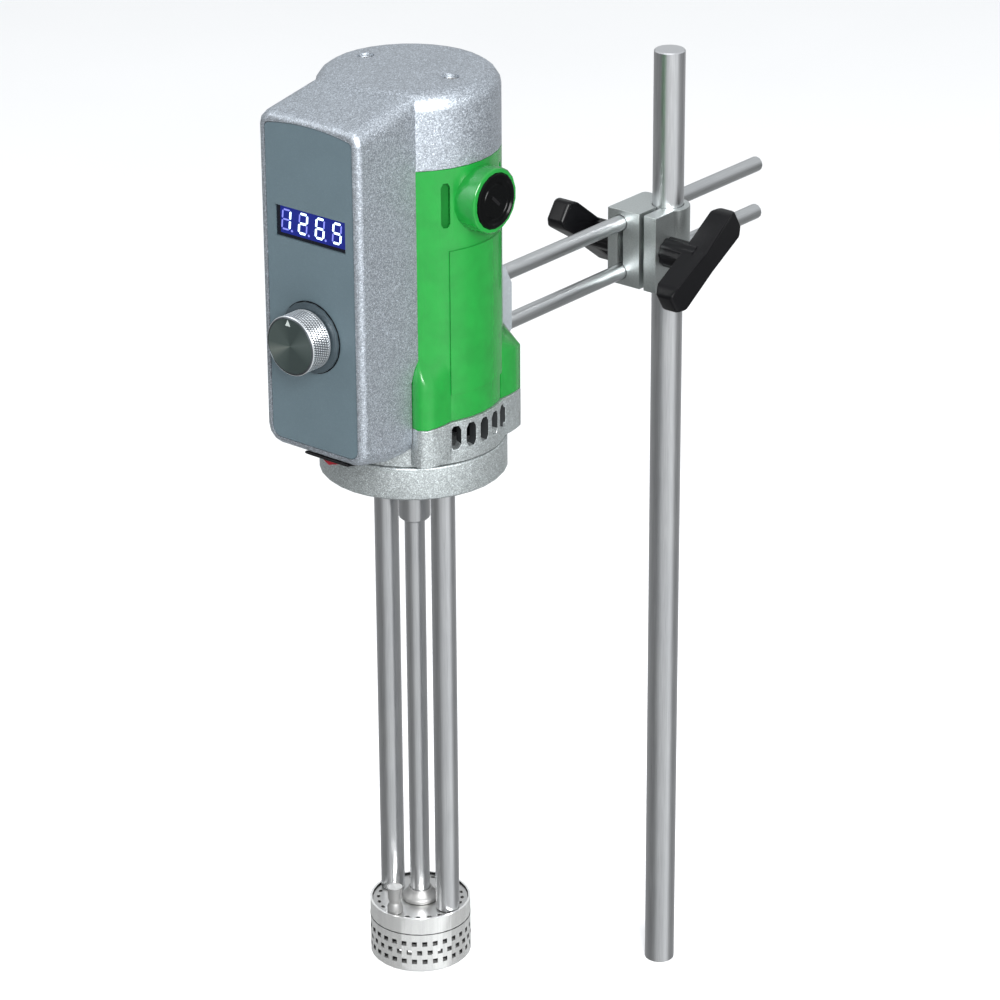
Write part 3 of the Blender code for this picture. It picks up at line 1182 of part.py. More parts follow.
def main():
    clear_scene()
    surfaces = make_surfaces()
    steel = surfaces["brushed_steel"]
    polished = surfaces["polished_steel"]
    silver = surfaces["silver_paint"]

    make_stand_rod(steel)
    clamp_z = FLANGE_HEIGHT + ARM_HEIGHT
    clamp = frame("clamp_frame", (0.0, 0.0, clamp_z))
    make_cross_clamp(clamp, surfaces["aluminium"])
    ear = CLAMP_SLIT / 2 + CLAMP_EAR_THICKNESS
    left = -MOTOR_TO_STAND_X - CLAMP_SIDE_WALL
    stand_side = frame("stand_screw_frame", (ear, screw_y(), 0.0), clamp)
    arm_side = frame("arm_screw_frame", (left, screw_y(), 0.0), clamp)
    make_screw("stand_screw", stand_side, TO_RIGHT, SCREW_REACH, steel)
    make_handle("stand_handle", stand_side, TO_RIGHT, math.pi / 2 + HANDLE_STAND_ANGLE,
                surfaces["black_plastic"])
    make_screw("arm_screw", arm_side, TO_LEFT, SCREW_REACH - SCREW_RADIUS, steel)
    make_handle("arm_handle", arm_side, TO_LEFT, HANDLE_ARM_ANGLE - math.pi / 2,
                surfaces["black_plastic"])

    mixer = frame("mixer_frame", (-MOTOR_TO_STAND_X, -MOTOR_TO_STAND_Y, FLANGE_HEIGHT))
    make_arm_rods(mixer, steel)
    make_arm_bracket(mixer, surfaces["aluminium"])
    make_motor_shell(mixer, surfaces["green_plastic"])
    make_end_case(mixer, silver)
    make_base_flange(mixer, silver)
    make_brush_gear(mixer, surfaces)
    make_field(mixer, surfaces)
    make_bearings(mixer, polished)
    make_control_housing(mixer, silver)
    make_cap_screws(mixer, steel)
    make_front_panel(mixer, surfaces["panel_grey"])
    make_display(mixer, surfaces["display_blue"])
    make_control_board(mixer, surfaces["board_green"])
    make_encoder(mixer, surfaces)
    make_switch(mixer, surfaces)
    make_support_rods(mixer, steel)
    make_head_plate(mixer, polished)
    make_shaft_bush(mixer, surfaces["brass"])
    make_stud_nuts(mixer, polished)
    make_stator(mixer, polished)

    spindle = frame("rotor_frame", (0.0, 0.0, 0.0), mixer)
    make_armature(spindle, surfaces)
    make_drive_line(spindle, surfaces)
    knob = frame("knob_frame", (KNOB_X, 0.0, KNOB_Z), mixer)
    make_encoder_shaft(knob, steel)
    make_speed_knob(knob, surfaces["aluminium"])
    rocker = frame("rocker_frame", switch_place(), mixer)
    make_power_rocker(rocker, surfaces["red_plastic"])


main()
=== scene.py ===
"""Looks of the rotor stator homogenizer: finishes, fine detail, studio and camera."""

import json
import math

import bmesh
import bpy
from mathutils import Matrix, Vector


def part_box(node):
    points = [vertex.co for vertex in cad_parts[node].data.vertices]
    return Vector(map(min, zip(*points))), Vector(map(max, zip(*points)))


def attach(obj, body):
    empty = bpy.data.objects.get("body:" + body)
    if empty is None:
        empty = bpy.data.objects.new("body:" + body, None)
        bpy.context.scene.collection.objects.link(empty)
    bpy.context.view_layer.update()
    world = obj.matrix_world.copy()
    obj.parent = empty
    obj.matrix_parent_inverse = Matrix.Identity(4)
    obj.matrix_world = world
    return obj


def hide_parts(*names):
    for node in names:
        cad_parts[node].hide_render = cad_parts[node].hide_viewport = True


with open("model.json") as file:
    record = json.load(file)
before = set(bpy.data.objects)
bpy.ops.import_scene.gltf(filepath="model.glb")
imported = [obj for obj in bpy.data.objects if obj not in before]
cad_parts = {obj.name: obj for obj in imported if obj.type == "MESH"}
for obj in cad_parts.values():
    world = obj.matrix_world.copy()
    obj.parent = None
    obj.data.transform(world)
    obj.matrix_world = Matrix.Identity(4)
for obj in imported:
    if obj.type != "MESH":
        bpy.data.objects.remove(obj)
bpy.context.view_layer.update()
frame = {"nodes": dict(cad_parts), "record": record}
nodes = frame["nodes"]
record = frame["record"]
body_of = {node: body for body, members in record["behaviour"]["bodies"].items() for node in members}
MM = 0.001

# The mixer's own frame inside the row's frame: the motor axis at the flange's underside
flange_low, flange_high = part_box("base_flange")
AXIS_X = (flange_low.x + flange_high.x) / 2
AXIS_Y = (flange_low.y + flange_high.y) / 2
BASE_Z = flange_low.z

# Radii of the round walls, where the solids' boxes show them
shell_low, shell_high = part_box("motor_shell")
case_low, case_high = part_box("motor_end_case")
head_low, head_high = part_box("stator")
SHELL_RADIUS = (shell_high.y - shell_low.y) / 2
CASE_RADIUS = (case_high.x - case_low.x) / 2
HEAD_RADIUS = (head_high.x - head_low.x) / 2

# Signs of a rectangle's corners, in order round it
CORNERS = ((-1, -1), (1, -1), (1, 1), (-1, 1))

# Colour sockets of Blender's Mix node
MIX_FIRST, MIX_SECOND, MIX_RESULT = 6, 7, 2


def spot(x, y, z):
    """A point given in millimetres from the motor axis and the flange's underside."""
    return Vector((AXIS_X + x * MM, AXIS_Y + y * MM, BASE_Z + z * MM))


def away(azimuth, elevation):
    """Direction from the object, by degrees from -Y towards +X and degrees above the floor."""
    turn, rise = math.radians(azimuth), math.radians(elevation)
    return Vector((math.sin(turn) * math.cos(rise), -math.cos(turn) * math.cos(rise), math.sin(rise)))


# Finishes

def scaled(colour, share):
    return tuple(min(1.0, value * share) for value in colour)


class Finish:
    """A material whose nodes are wired by name, with the pattern in real millimetres."""

    def __init__(self, name, colour, roughness, metallic=0.0, **sockets):
        self.material = bpy.data.materials.new(name)
        self.material.use_nodes = True
        self.tree = self.material.node_tree
        self.shader = self.tree.nodes["Principled BSDF"]
        self.set(self.shader, **{"Base Color": (*colour, 1.0), "Roughness": roughness,
                                 "Metallic": metallic, **sockets})
        self.place = self.node("ShaderNodeTexCoord").outputs["Object"]

    def node(self, kind):
        return self.tree.nodes.new(kind)

    def set(self, node, **values):
        for socket, value in values.items():
            node.inputs[socket].default_value = value

    def link(self, source, node, socket):
        self.tree.links.new(source, node.inputs[socket])

    def stretched(self, x, y, z):
        """The place scaled by axis, so that a pattern is drawn out where the scale is small."""
        mapping = self.node("ShaderNodeMapping")
        mapping.inputs["Scale"].default_value = (x, y, z)
        self.link(self.place, mapping, "Vector")
        return mapping.outputs["Vector"]

    def noise(self, size, detail=2.0, place=None):
        """Soft noise whose features are about size millimetres across."""
        node = self.node("ShaderNodeTexNoise")
        self.set(node, Scale=1.0 / (size * MM), Detail=detail)
        self.link(place or self.place, node, "Vector")
        return node.outputs["Fac"]

    def flakes(self, size):
        """One random grey for each cell of about size millimetres."""
        node = self.node("ShaderNodeTexVoronoi")
        self.set(node, Scale=1.0 / (size * MM))
        self.link(self.place, node, "Vector")
        grey = self.node("ShaderNodeRGBToBW")
        self.link(node.outputs["Color"], grey, "Color")
        return grey.outputs["Val"]

    def ramp(self, source, *stops):
        """Colours by position: each stop is (position, (r, g, b))."""
        node = self.node("ShaderNodeValToRGB")
        elements = node.color_ramp.elements
        while len(elements) < len(stops):
            elements.new(0.5)
        for element, (position, colour) in zip(elements, stops):
            element.position = position
            element.color = (*colour, 1.0)
        self.link(source, node, "Fac")
        return node.outputs["Color"]

    def mottled(self, source, colour):
        """The colour, a little darker and lighter with the source."""
        return self.ramp(source, (0.3, scaled(colour, 0.9)), (0.7, scaled(colour, 1.06)))

    def clouded(self, colour, size, detail, darkest):
        """A colour socket dimmed down to darkest by soft clouds of size millimetres."""
        cloud = self.ramp(self.noise(size, detail), (0.3, darkest), (0.7, (1.0, 1.0, 1.0)))
        node = self.node("ShaderNodeMix")
        node.data_type = "RGBA"
        node.blend_type = "MULTIPLY"
        self.set(node, Factor=1.0)
        self.link(colour, node, MIX_FIRST)
        self.link(cloud, node, MIX_SECOND)
        return node.outputs[MIX_RESULT]

    def levels(self, source, low, high):
        """The source's 0 to 1 spread over low to high."""
        node = self.node("ShaderNodeMapRange")
        self.set(node, **{"To Min": low, "To Max": high})
        self.link(source, node, "Value")
        return node.outputs["Result"]

    def bump(self, height, strength, depth):
        """Bump of depth millimetres."""
        node = self.node("ShaderNodeBump")
        self.set(node, Strength=strength, Distance=depth * MM)
        self.link(height, node, "Height")
        self.link(node.outputs["Normal"], self.shader, "Normal")

    def colour(self, source):
        self.link(source, self.shader, "Base Color")

    def rough(self, source):
        self.link(source, self.shader, "Roughness")


def sparkle_paint(name, colour, roughness, metallic, flake, contrast):
    """Metallic lacquer: flakes of random brightness under an orange-peel coat."""
    finish = Finish(name, colour, roughness, metallic, **{"Coat Weight": 0.12, "Coat Roughness": 0.35})
    fine = finish.flakes(flake)
    flecks = finish.ramp(fine, (0.0, scaled(colour, 1.0 - contrast)), (0.55, colour),
                         (0.8, scaled(colour, 1.0 + contrast)), (1.0, scaled(colour, 1.0 + 2.2 * contrast)))
    finish.colour(finish.clouded(flecks, 26.0, 3.0, (0.94, 0.94, 0.94)))
    finish.rough(finish.levels(fine, roughness - 0.08, roughness + 0.1))
    finish.bump(finish.noise(0.9), 0.3, 0.03)
    return finish.material


def gloss_plastic(name, colour, roughness, grain=0.9, depth=0.02, coat=0.4, specular=0.5):
    """Moulded plastic: a faint orange peel, slight mottling and small scuffs."""
    finish = Finish(name, colour, roughness, 0.0,
                    **{"Coat Weight": coat, "Coat Roughness": 0.08, "Specular IOR Level": specular})
    finish.colour(finish.mottled(finish.noise(9.0, 4.0), colour))
    finish.rough(finish.levels(finish.noise(3.5, 5.0), roughness - 0.05, roughness + 0.09))
    finish.bump(finish.noise(grain), 0.3, depth)
    return finish.material


def drawn_steel(name, colour, roughness, along="z", streak=0.35, contrast=0.1, metallic=1.0):
    """Ground bar: fine streaks along its length and a faint cloud over them."""
    finish = Finish(name, colour, roughness, metallic)
    slow = 0.02
    stretch = {"y": (1.0, slow, 1.0), "z": (1.0, 1.0, slow)}[along]
    lines = finish.noise(streak, 3.0, finish.stretched(*stretch))
    shade = finish.ramp(lines, (0.25, scaled(colour, 1.0 - contrast)),
                        (0.75, scaled(colour, 1.0 + contrast)))
    finish.colour(finish.clouded(shade, 30.0, 4.0, (0.93, 0.93, 0.94)))
    finish.rough(finish.levels(lines, roughness - 0.06, roughness + 0.08))
    finish.bump(lines, 0.15, 0.01)
    return finish.material


def cast_metal(name, colour, roughness, grain=1.2, depth=0.06):
    """Bare metal with shallow pits of grain millimetres."""
    finish = Finish(name, colour, roughness, 1.0)
    pits = finish.noise(grain, 5.0)
    finish.colour(finish.mottled(pits, colour))
    finish.rough(finish.levels(finish.noise(0.5), roughness - 0.06, roughness + 0.08))
    finish.bump(pits, 0.3, depth)
    return finish.material


def wound_copper(name):
    finish = Finish(name, (0.55, 0.2, 0.07), 0.3, 0.9)
    wire = finish.node("ShaderNodeTexWave")
    finish.set(wire, Scale=0.5 / MM, Distortion=0.4)
    finish.link(finish.place, wire, "Vector")
    # Painted shade: darker in the grooves between the turns of wire
    finish.colour(finish.ramp(wire.outputs["Fac"], (0.0, (0.16, 0.05, 0.02)), (1.0, (0.62, 0.25, 0.09))))
    finish.bump(wire.outputs["Fac"], 0.6, 0.2)
    return finish.material


def laminated_iron(name):
    finish = Finish(name, (0.2, 0.2, 0.21), 0.45, 0.8)
    lines = finish.noise(0.6, 1.0, finish.stretched(0.02, 0.02, 1.0))
    finish.colour(finish.ramp(lines, (0.35, (0.08, 0.08, 0.085)), (0.6, (0.26, 0.26, 0.27))))
    finish.bump(lines, 0.4, 0.05)
    return finish.material


def spun_metal(name):
    """Dark anodised face: fine turning rings, and broad rays that lighten and darken round the centre, a
    painted reflection of the spun face's sheen.
    """
    low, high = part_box("speed_knob")
    finish = Finish(name, (0.05, 0.065, 0.062), 0.3, 0.9, **{"Anisotropic": 0.6})
    split = finish.node("ShaderNodeSeparateXYZ")
    finish.link(finish.place, split, "Vector")
    flat = finish.node("ShaderNodeCombineXYZ")
    finish.link(split.outputs["X"], flat, "X")
    finish.link(split.outputs["Z"], flat, "Y")
    around = finish.node("ShaderNodeMapping")
    around.inputs["Location"].default_value = (-(low.x + high.x) / 2, -(low.z + high.z) / 2, 0.0)
    finish.link(flat.outputs["Vector"], around, "Vector")
    rays = finish.node("ShaderNodeTexGradient")
    rays.gradient_type = "RADIAL"
    finish.link(around.outputs["Vector"], rays, "Vector")
    dark, mid, soft, pale = (0.11, 0.145, 0.14), (0.16, 0.205, 0.195), (0.2, 0.25, 0.24), (0.33, 0.38, 0.35)
    # Painted reflection: the face's sheen as lighter and darker rays by angle round the centre
    finish.colour(finish.ramp(rays.outputs["Fac"], (0.0, mid), (0.06, pale), (0.13, mid), (0.24, dark),
                              (0.4, dark), (0.55, soft), (0.66, dark), (0.76, dark), (0.88, mid),
                              (1.0, mid)))
    rings = finish.node("ShaderNodeTexWave")
    rings.wave_type = "RINGS"
    rings.rings_direction = "Z"
    finish.set(rings, Scale=0.9 / MM)
    finish.link(around.outputs["Vector"], rings, "Vector")
    finish.bump(rings.outputs["Fac"], 0.2, 0.02)
    return finish.material


KNURL_DEPTH = 0.45 * MM


def knurled_metal(name):
    """Aluminium whose knurl has painted shade in its valleys and painted highlights on its tips, by
    distance from the knob's axis.
    """
    low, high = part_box("speed_knob")
    radius = (high.x - low.x) / 2
    finish = Finish(name, (0.6, 0.62, 0.64), 0.3, 0.9)
    shift = finish.node("ShaderNodeMapping")
    shift.inputs["Location"].default_value = (-(low.x + high.x) / 2, 0.0, -(low.z + high.z) / 2)
    shift.inputs["Scale"].default_value = (1.0, 0.0, 1.0)
    finish.link(finish.place, shift, "Vector")
    reach = finish.node("ShaderNodeVectorMath")
    reach.operation = "LENGTH"
    finish.link(shift.outputs["Vector"], reach, 0)
    spread = finish.node("ShaderNodeMapRange")
    finish.set(spread, **{"From Min": radius - KNURL_DEPTH, "From Max": radius - 0.05 * MM})
    finish.link(reach.outputs["Value"], spread, "Value")
    # Painted shade deep in the knurl, painted highlight on the tips and the full-radius rim
    finish.colour(finish.ramp(spread.outputs["Result"], (0.12, (0.09, 0.1, 0.11)),
                              (0.6, (0.72, 0.75, 0.78)), (1.0, (0.86, 0.88, 0.9))))
    finish.rough(finish.levels(finish.noise(0.8), 0.24, 0.36))
    finish.bump(finish.noise(0.5), 0.2, 0.004)
    return finish.material


def circuit_board(name):
    """Green lacquer with a few bright pads."""
    finish = Finish(name, (0.015, 0.12, 0.05), 0.35)
    finish.colour(finish.ramp(finish.flakes(2.4), (0.0, (0.01, 0.09, 0.04)), (0.93, (0.02, 0.14, 0.06)),
                              (0.95, (0.5, 0.42, 0.2))))
    finish.bump(finish.noise(1.0), 0.2, 0.05)
    return finish.material


def lit(name, colour, strength):
    """Glowing segment whose light varies a little in soft patches."""
    finish = Finish(name, scaled(colour, 0.4), 0.4)
    glow = finish.ramp(finish.noise(1.2, 1.0), (0.2, scaled(colour, 0.85)), (0.8, colour))
    finish.link(glow, finish.shader, "Emission Color")
    finish.set(finish.shader, **{"Emission Strength": strength})
    return finish.material


finishes = {
    "silver": sparkle_paint("silver_lacquer", (0.364, 0.398, 0.438), 0.48, 0.86, flake=0.42, contrast=0.42),
    "silver_light": sparkle_paint("light_silver_lacquer", (0.414, 0.448, 0.453), 0.48, 0.85, flake=0.42,
                                  contrast=0.38),
    "panel": sparkle_paint("panel_lacquer", (0.074, 0.108, 0.126), 0.5, 0.25, flake=0.38, contrast=0.09),
    # Darker than the panel: painted shadow of the knob over its seat ring
    "seat": sparkle_paint("seat_lacquer_painted_shadow", (0.036, 0.052, 0.062), 0.5, 0.25, flake=0.38, contrast=0.09),
    "bracket": sparkle_paint("grey_bracket_lacquer", (0.3, 0.33, 0.35), 0.4, 0.4, flake=0.5, contrast=0.1),
    "green": gloss_plastic("green_moulding", (0.0035, 0.158, 0.019), 0.2),
    # Darker, duller green: painted shade on the floors inside the air slots
    "green_shaded": gloss_plastic("green_recess_painted_shade", (0.002, 0.085, 0.01), 0.6, coat=0.0, specular=0.1),
    "black": gloss_plastic("black_moulding", (0.0022, 0.0022, 0.0028), 0.3, grain=1.2, depth=0.03, coat=0.0,
                           specular=0.2),
    "black_gloss": gloss_plastic("black_gloss_moulding", (0.001, 0.0012, 0.0013), 0.2, grain=1.4,
                                 depth=0.01, coat=0.0, specular=0.12),
    # Near black: painted shade on the inner walls of the shell and end case
    "inside_shade": gloss_plastic("painted_shade_inner_walls", (0.016, 0.018, 0.019), 0.7, coat=0.0, specular=0.2),
    "red": gloss_plastic("red_moulding", (0.16, 0.003, 0.008), 0.22),
    "white": gloss_plastic("white_mark", (0.3, 0.33, 0.32), 0.4, grain=0.6, depth=0.01, coat=0.0),
    "display": gloss_plastic("display_filter", (0.001, 0.002, 0.006), 0.15, grain=2.0, depth=0.005,
                             coat=0.2),
    "rod": drawn_steel("drawn_rod_steel", (0.68, 0.69, 0.7), 0.3),
    "arm": drawn_steel("drawn_arm_steel", (0.56, 0.575, 0.58), 0.33, along="y"),
    "bright": drawn_steel("bright_turned_steel", (0.56, 0.56, 0.55), 0.3, streak=0.5, contrast=0.05),
    "stud": drawn_steel("turned_stud_steel", (0.3, 0.3, 0.295), 0.46, streak=0.5, contrast=0.05,
                        metallic=0.8),
    "nut": drawn_steel("turned_nut_steel", (0.36, 0.36, 0.355), 0.45, streak=0.5, contrast=0.05,
                       metallic=0.8),
    "stator": drawn_steel("polished_stator_steel", (0.84, 0.845, 0.83), 0.22, streak=0.6, contrast=0.05,
                          metallic=0.84),
    "shadowed": drawn_steel("shadowed_steel", (0.05, 0.05, 0.05), 0.5),
    "clamp": cast_metal("cast_clamp_aluminium", (0.52, 0.555, 0.55), 0.42, grain=0.7, depth=0.02),
    "brass": cast_metal("turned_brass", (0.55, 0.4, 0.14), 0.3, grain=3.0, depth=0.02),
    "carbon": cast_metal("brush_carbon", (0.03, 0.03, 0.032), 0.6),
    "copper": wound_copper("wound_copper"),
    "iron": laminated_iron("laminated_iron"),
    "board": circuit_board("circuit_board"),
    "glow": lit("display_glow", (0.0, 0.006, 0.14), 1.0),
    "segment_on": lit("lit_segment", (0.68, 0.9, 1.0), 2.0),
    "segment_off": lit("unlit_segment", (0.2, 0.22, 0.7), 0.75),
    "knob_side": knurled_metal("knurled_aluminium_painted_shade"),
    "knob_face": spun_metal("knob_spun_face"),
}

dress = {
    "silver": ["control_housing"],
    "silver_light": ["motor_end_case", "base_flange"],
    "panel": ["front_panel"],
    "seat": ["knob_seat_ring"],
    "green": ["motor_shell"],
    "black": ["stand_handle", "arm_handle", "switch_body", "encoder_body", "cooling_fan"],
    "black_gloss": ["brush_cap_left", "brush_cap_right"],
    "red": ["power_rocker"],
    "rod": ["stand_rod", "support_rod_left", "support_rod_right", "drive_shaft", "shaft_coupling",
            "motor_shaft", "encoder_shaft"],
    "arm": ["upper_arm_rod", "lower_arm_rod"],
    "shadowed": ["rotor"],
    "stud": ["shaft_bush"],
    "nut": ["stud_nut_front", "stud_nut_back"],
    "bright": ["head_plate", "lower_bearing", "upper_bearing", "cap_screw_left", "cap_screw_right",
               "stand_screw", "arm_screw", "brush_spring_left", "brush_spring_right"],
    "stator": ["stator"],
    "clamp": ["cross_clamp"],
    "knob_side": ["speed_knob"],
    "bracket": ["arm_bracket"],
    "brass": ["brush_holder_left", "brush_holder_right", "commutator"],
    "carbon": ["brush_left", "brush_right"],
    "copper": ["field_coil_front", "field_coil_back"],
    "iron": ["field_core", "armature_core"],
    "board": ["control_board"],
    "display": ["display_module"],
}

# Nodes that are seen only through openings keep the plain solid
HIDDEN = {"field_core", "field_coil_front", "field_coil_back", "lower_bearing", "upper_bearing",
          "motor_shaft", "armature_core", "commutator", "brush_holder_left", "brush_holder_right",
          "brush_left", "brush_right", "brush_spring_left", "brush_spring_right", "control_board",
          "encoder_body", "encoder_shaft"}

# Nodes that a piece with more detail replaces further down
REBUILT = {"speed_knob", "brush_cap_left", "brush_cap_right"}

# Widths of the softened edges, in millimetres
EDGES = {"control_housing": 0.5, "motor_shell": 0.35, "motor_end_case": 0.35, "base_flange": 0.3,
         "arm_bracket": 0.4, "cross_clamp": 0.35, "stand_handle": 0.5, "arm_handle": 0.5,
         "switch_body": 0.2, "power_rocker": 0.3, "knob_seat_ring": 0.15, "stator": 0.12,
         "head_plate": 0.12, "shaft_bush": 0.15, "shaft_coupling": 0.2}

# Hollow parts whose inner walls get a dark finish, painted shade inside them: the radius within which the
# walls lie, the largest outward part of their normal, and the finish. Openings' side walls count where that
# part may be above 0.
PAINTED_SHADE_INSIDE = {"motor_shell": (SHELL_RADIUS - 1.8 * MM, -0.5, "inside_shade"),
               "motor_end_case": (CASE_RADIUS - 2.0 * MM, 0.5, "inside_shade"),
               "stator": (HEAD_RADIUS - 0.4 * MM, 0.5, "shadowed")}
# A face counts as a wall while the upward part of its normal lies between these
WALL_DOWN, WALL_UP = -0.99, 0.5

# The screw pillars: the round wall that each stands on, their plan in the solids, and the crest and foot
# of the straight flank
PILLAR_WALLS = {"motor_shell": SHELL_RADIUS, "motor_end_case": CASE_RADIUS}
PILLAR_DISTANCE = 44.3 * MM
PILLAR_RADIUS = 10.0 * MM
PILLAR_ANGLE = math.radians(38.0)
PILLAR_CREST = math.radians(44.0)
PILLAR_FOOT = math.radians(25.0)
PILLAR_LEAST = 1.0 * MM

# Edges sharper than these are shaded as sharp, also on the parts with pillars, or are softened
SHARP_ANGLE = math.radians(37.0)
PILLAR_SHARP_ANGLE = math.radians(55.0)
SOFTENED_ANGLE = math.radians(50.0)
# Facets that meet at less than this are one face, and points closer than these are one point
FLAT_ANGLE = math.radians(0.6)
SAME_POINT = 0.005 * MM
RING_SAME_POINT = 0.001 * MM


# Solids and pieces

def smooth(piece, angle=SHARP_ANGLE):
    piece.data.shade_smooth()
    piece.data.set_sharp_from_angle(angle=angle)


def add_piece(name, solid, finish, body):
    """A new piece of fine detail that rides on a body."""
    mesh = bpy.data.meshes.new(name)
    bmesh.ops.recalc_face_normals(solid, faces=solid.faces)
    solid.to_mesh(mesh)
    solid.free()
    mesh.materials.append(finishes[finish])
    piece = bpy.data.objects.new(name, mesh)
    bpy.context.scene.collection.objects.link(piece)
    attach(piece, body)
    return piece


def prism(solid, first, second):
    """Adds a closed prism between two loops of points."""
    rings = [[solid.verts.new(point) for point in loop] for loop in (first, second)]
    solid.faces.new(rings[0][::-1])
    solid.faces.new(rings[1])
    for index in range(len(first)):
        after = (index + 1) % len(first)
        solid.faces.new((rings[0][index], rings[0][after], rings[1][after], rings[1][index]))


def plate(solid, outline, front, back):
    """Adds an outline in X and Z as a thin plate between two depths."""
    prism(solid, [(x, front, z) for x, z in outline], [(x, back, z) for x, z in outline])


def lathe(profile, steps, place, twist=None):
    """Turned solid about local Z from (radius, height) points; twist(row) turns a ring by some steps."""
    solid = bmesh.new()
    rings = []
    for row, (radius, height) in enumerate(profile):
        if radius == 0.0:
            rings.append([solid.verts.new(place @ Vector((0.0, 0.0, height)))])
            continue
        ring = []
        for step in range(steps):
            angle = 2 * math.pi * (step + (twist(row) if twist else 0.0)) / steps
            point = Vector((radius * math.cos(angle), radius * math.sin(angle), height))
            ring.append(solid.verts.new(place @ point))
        rings.append(ring)
    for lower, upper in zip(rings, rings[1:]):
        for step in range(steps):
            after = (step + 1) % steps
            corners = (lower[step % len(lower)], lower[after % len(lower)], upper[after % len(upper)],
                       upper[step % len(upper)])
            face = list(dict.fromkeys(corners))
            if len(face) > 2:
                solid.faces.new(face)
    return solid


def add_ring(name, place, profile, steps, finish):
    """Closed ring on the mixer, turned from a profile that runs once round its section."""
    solid = lathe(profile + profile[:1], steps, place)
    bmesh.ops.remove_doubles(solid, verts=solid.verts, dist=RING_SAME_POINT)
    smooth(add_piece(name, solid, finish, "mixer"))


# Copies of the nodes

def pillar_reach(angle, wall):
    """How far the round pillar of the solid stands out of the wall at an angle round the motor."""
    turn = angle - PILLAR_ANGLE
    across = PILLAR_DISTANCE * math.sin(turn)
    return PILLAR_DISTANCE * math.cos(turn) + math.sqrt(max(PILLAR_RADIUS ** 2 - across ** 2, 0.0)) - wall


def slope_pillars(solid, wall):
    """Gives each screw pillar a straight flank that runs from its crest down to the side of the motor."""
    crest = pillar_reach(PILLAR_CREST, wall)
    for vertex in solid.verts:
        x, y = vertex.co.x - AXIS_X, vertex.co.y - AXIS_Y
        angle = math.atan2(abs(y), abs(x))
        reach = math.hypot(x, y) - wall
        if reach < PILLAR_LEAST or not PILLAR_FOOT < angle < PILLAR_CREST:
            continue
        flank = crest * (angle - PILLAR_FOOT) / (PILLAR_CREST - PILLAR_FOOT)
        share = min(1.0, flank / pillar_reach(angle, wall))
        scale = (wall + reach * share) / (wall + reach)
        vertex.co.x = AXIS_X + x * scale
        vertex.co.y = AXIS_Y + y * scale


def paint_inner_wall_shade(mesh, radius, limit, finish_name):
    """Gives the inner walls of a hollow part a dark finish, painted shade for the shadow inside it."""
    mesh.materials.append(finishes[finish_name])
    for face in mesh.polygons:
        outward = Vector((face.center.x - AXIS_X, face.center.y - AXIS_Y, 0.0))
        faces_in = face.normal.dot(outward.normalized()) < limit and WALL_DOWN < face.normal.z < WALL_UP
        if outward.length < radius and faces_in:
            face.material_index = 1


def add_refined(name, finish_name):
    """A copy of the node with its facets smoothed and its edges softened, which stands for it."""
    solid = bmesh.new()
    solid.from_mesh(nodes[name].data)
    bmesh.ops.remove_doubles(solid, verts=solid.verts, dist=SAME_POINT)
    bmesh.ops.dissolve_limit(solid, angle_limit=FLAT_ANGLE, verts=solid.verts, edges=solid.edges)
    if name in PILLAR_WALLS:
        slope_pillars(solid, PILLAR_WALLS[name])
    mesh = bpy.data.meshes.new(name + "_finish")
    solid.to_mesh(mesh)
    solid.free()
    mesh.materials.append(finishes[finish_name])
    if name in PAINTED_SHADE_INSIDE:
        paint_inner_wall_shade(mesh, *PAINTED_SHADE_INSIDE[name])
    piece = bpy.data.objects.new(name + "_finish", mesh)
    bpy.context.scene.collection.objects.link(piece)
    smooth(piece, PILLAR_SHARP_ANGLE if name in PILLAR_WALLS else SHARP_ANGLE)
    if name in EDGES:
        edge = piece.modifiers.new("soft_edges", "BEVEL")
        edge.width = EDGES[name] * MM
        edge.segments = 2
        edge.limit_method = "ANGLE"
        edge.angle_limit = SOFTENED_ANGLE
    # Softened edges run on into their faces, and the others stay sharp
    weighted = piece.modifiers.new("weighted_normals", "WEIGHTED_NORMAL")
    weighted.keep_sharp = name not in EDGES
    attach(piece, body_of[name])
    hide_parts(name)


def dress_nodes():
    """Gives every node its finish, and the visible ones a refined copy."""
    for finish_name, members in dress.items():
        for member in members:
            mesh = nodes[member].data
            mesh.materials.clear()
            mesh.materials.append(finishes[finish_name])
            if member not in HIDDEN | REBUILT:
                add_refined(member, finish_name)


# Camera, fitted to the photograph: degrees, lens on 36 mm film, and its place in the mixer's frame in mm
CAMERA_AZIMUTH = 39.46
CAMERA_DOWN = 23.68
CAMERA_ROLL = math.radians(-0.34)
CAMERA_LENS = 147.2
CAMERA_PLACE = (1193.46, -1384.1, 781.64)


def add_camera():
    """Camera at the photograph's angle."""
    forward = -away(CAMERA_AZIMUTH, CAMERA_DOWN)
    level = Vector((forward.y, -forward.x, 0.0)).normalized()
    upright = level.cross(forward)
    right = level * math.cos(CAMERA_ROLL) + upright * math.sin(CAMERA_ROLL)
    up = upright * math.cos(CAMERA_ROLL) - level * math.sin(CAMERA_ROLL)
    data = bpy.data.cameras.new("photo_camera")
    data.sensor_width = 36.0
    data.lens = CAMERA_LENS
    data.clip_end = 100.0
    camera = bpy.data.objects.new("photo_camera", data)
    turn = Matrix((right, up, -forward)).transposed().to_4x4()
    camera.matrix_world = Matrix.Translation(spot(*CAMERA_PLACE)) @ turn
    bpy.context.scene.collection.objects.link(camera)
    bpy.context.scene.camera = camera


# Studio, in metres and degrees

FLOOR_HALF = 20.0
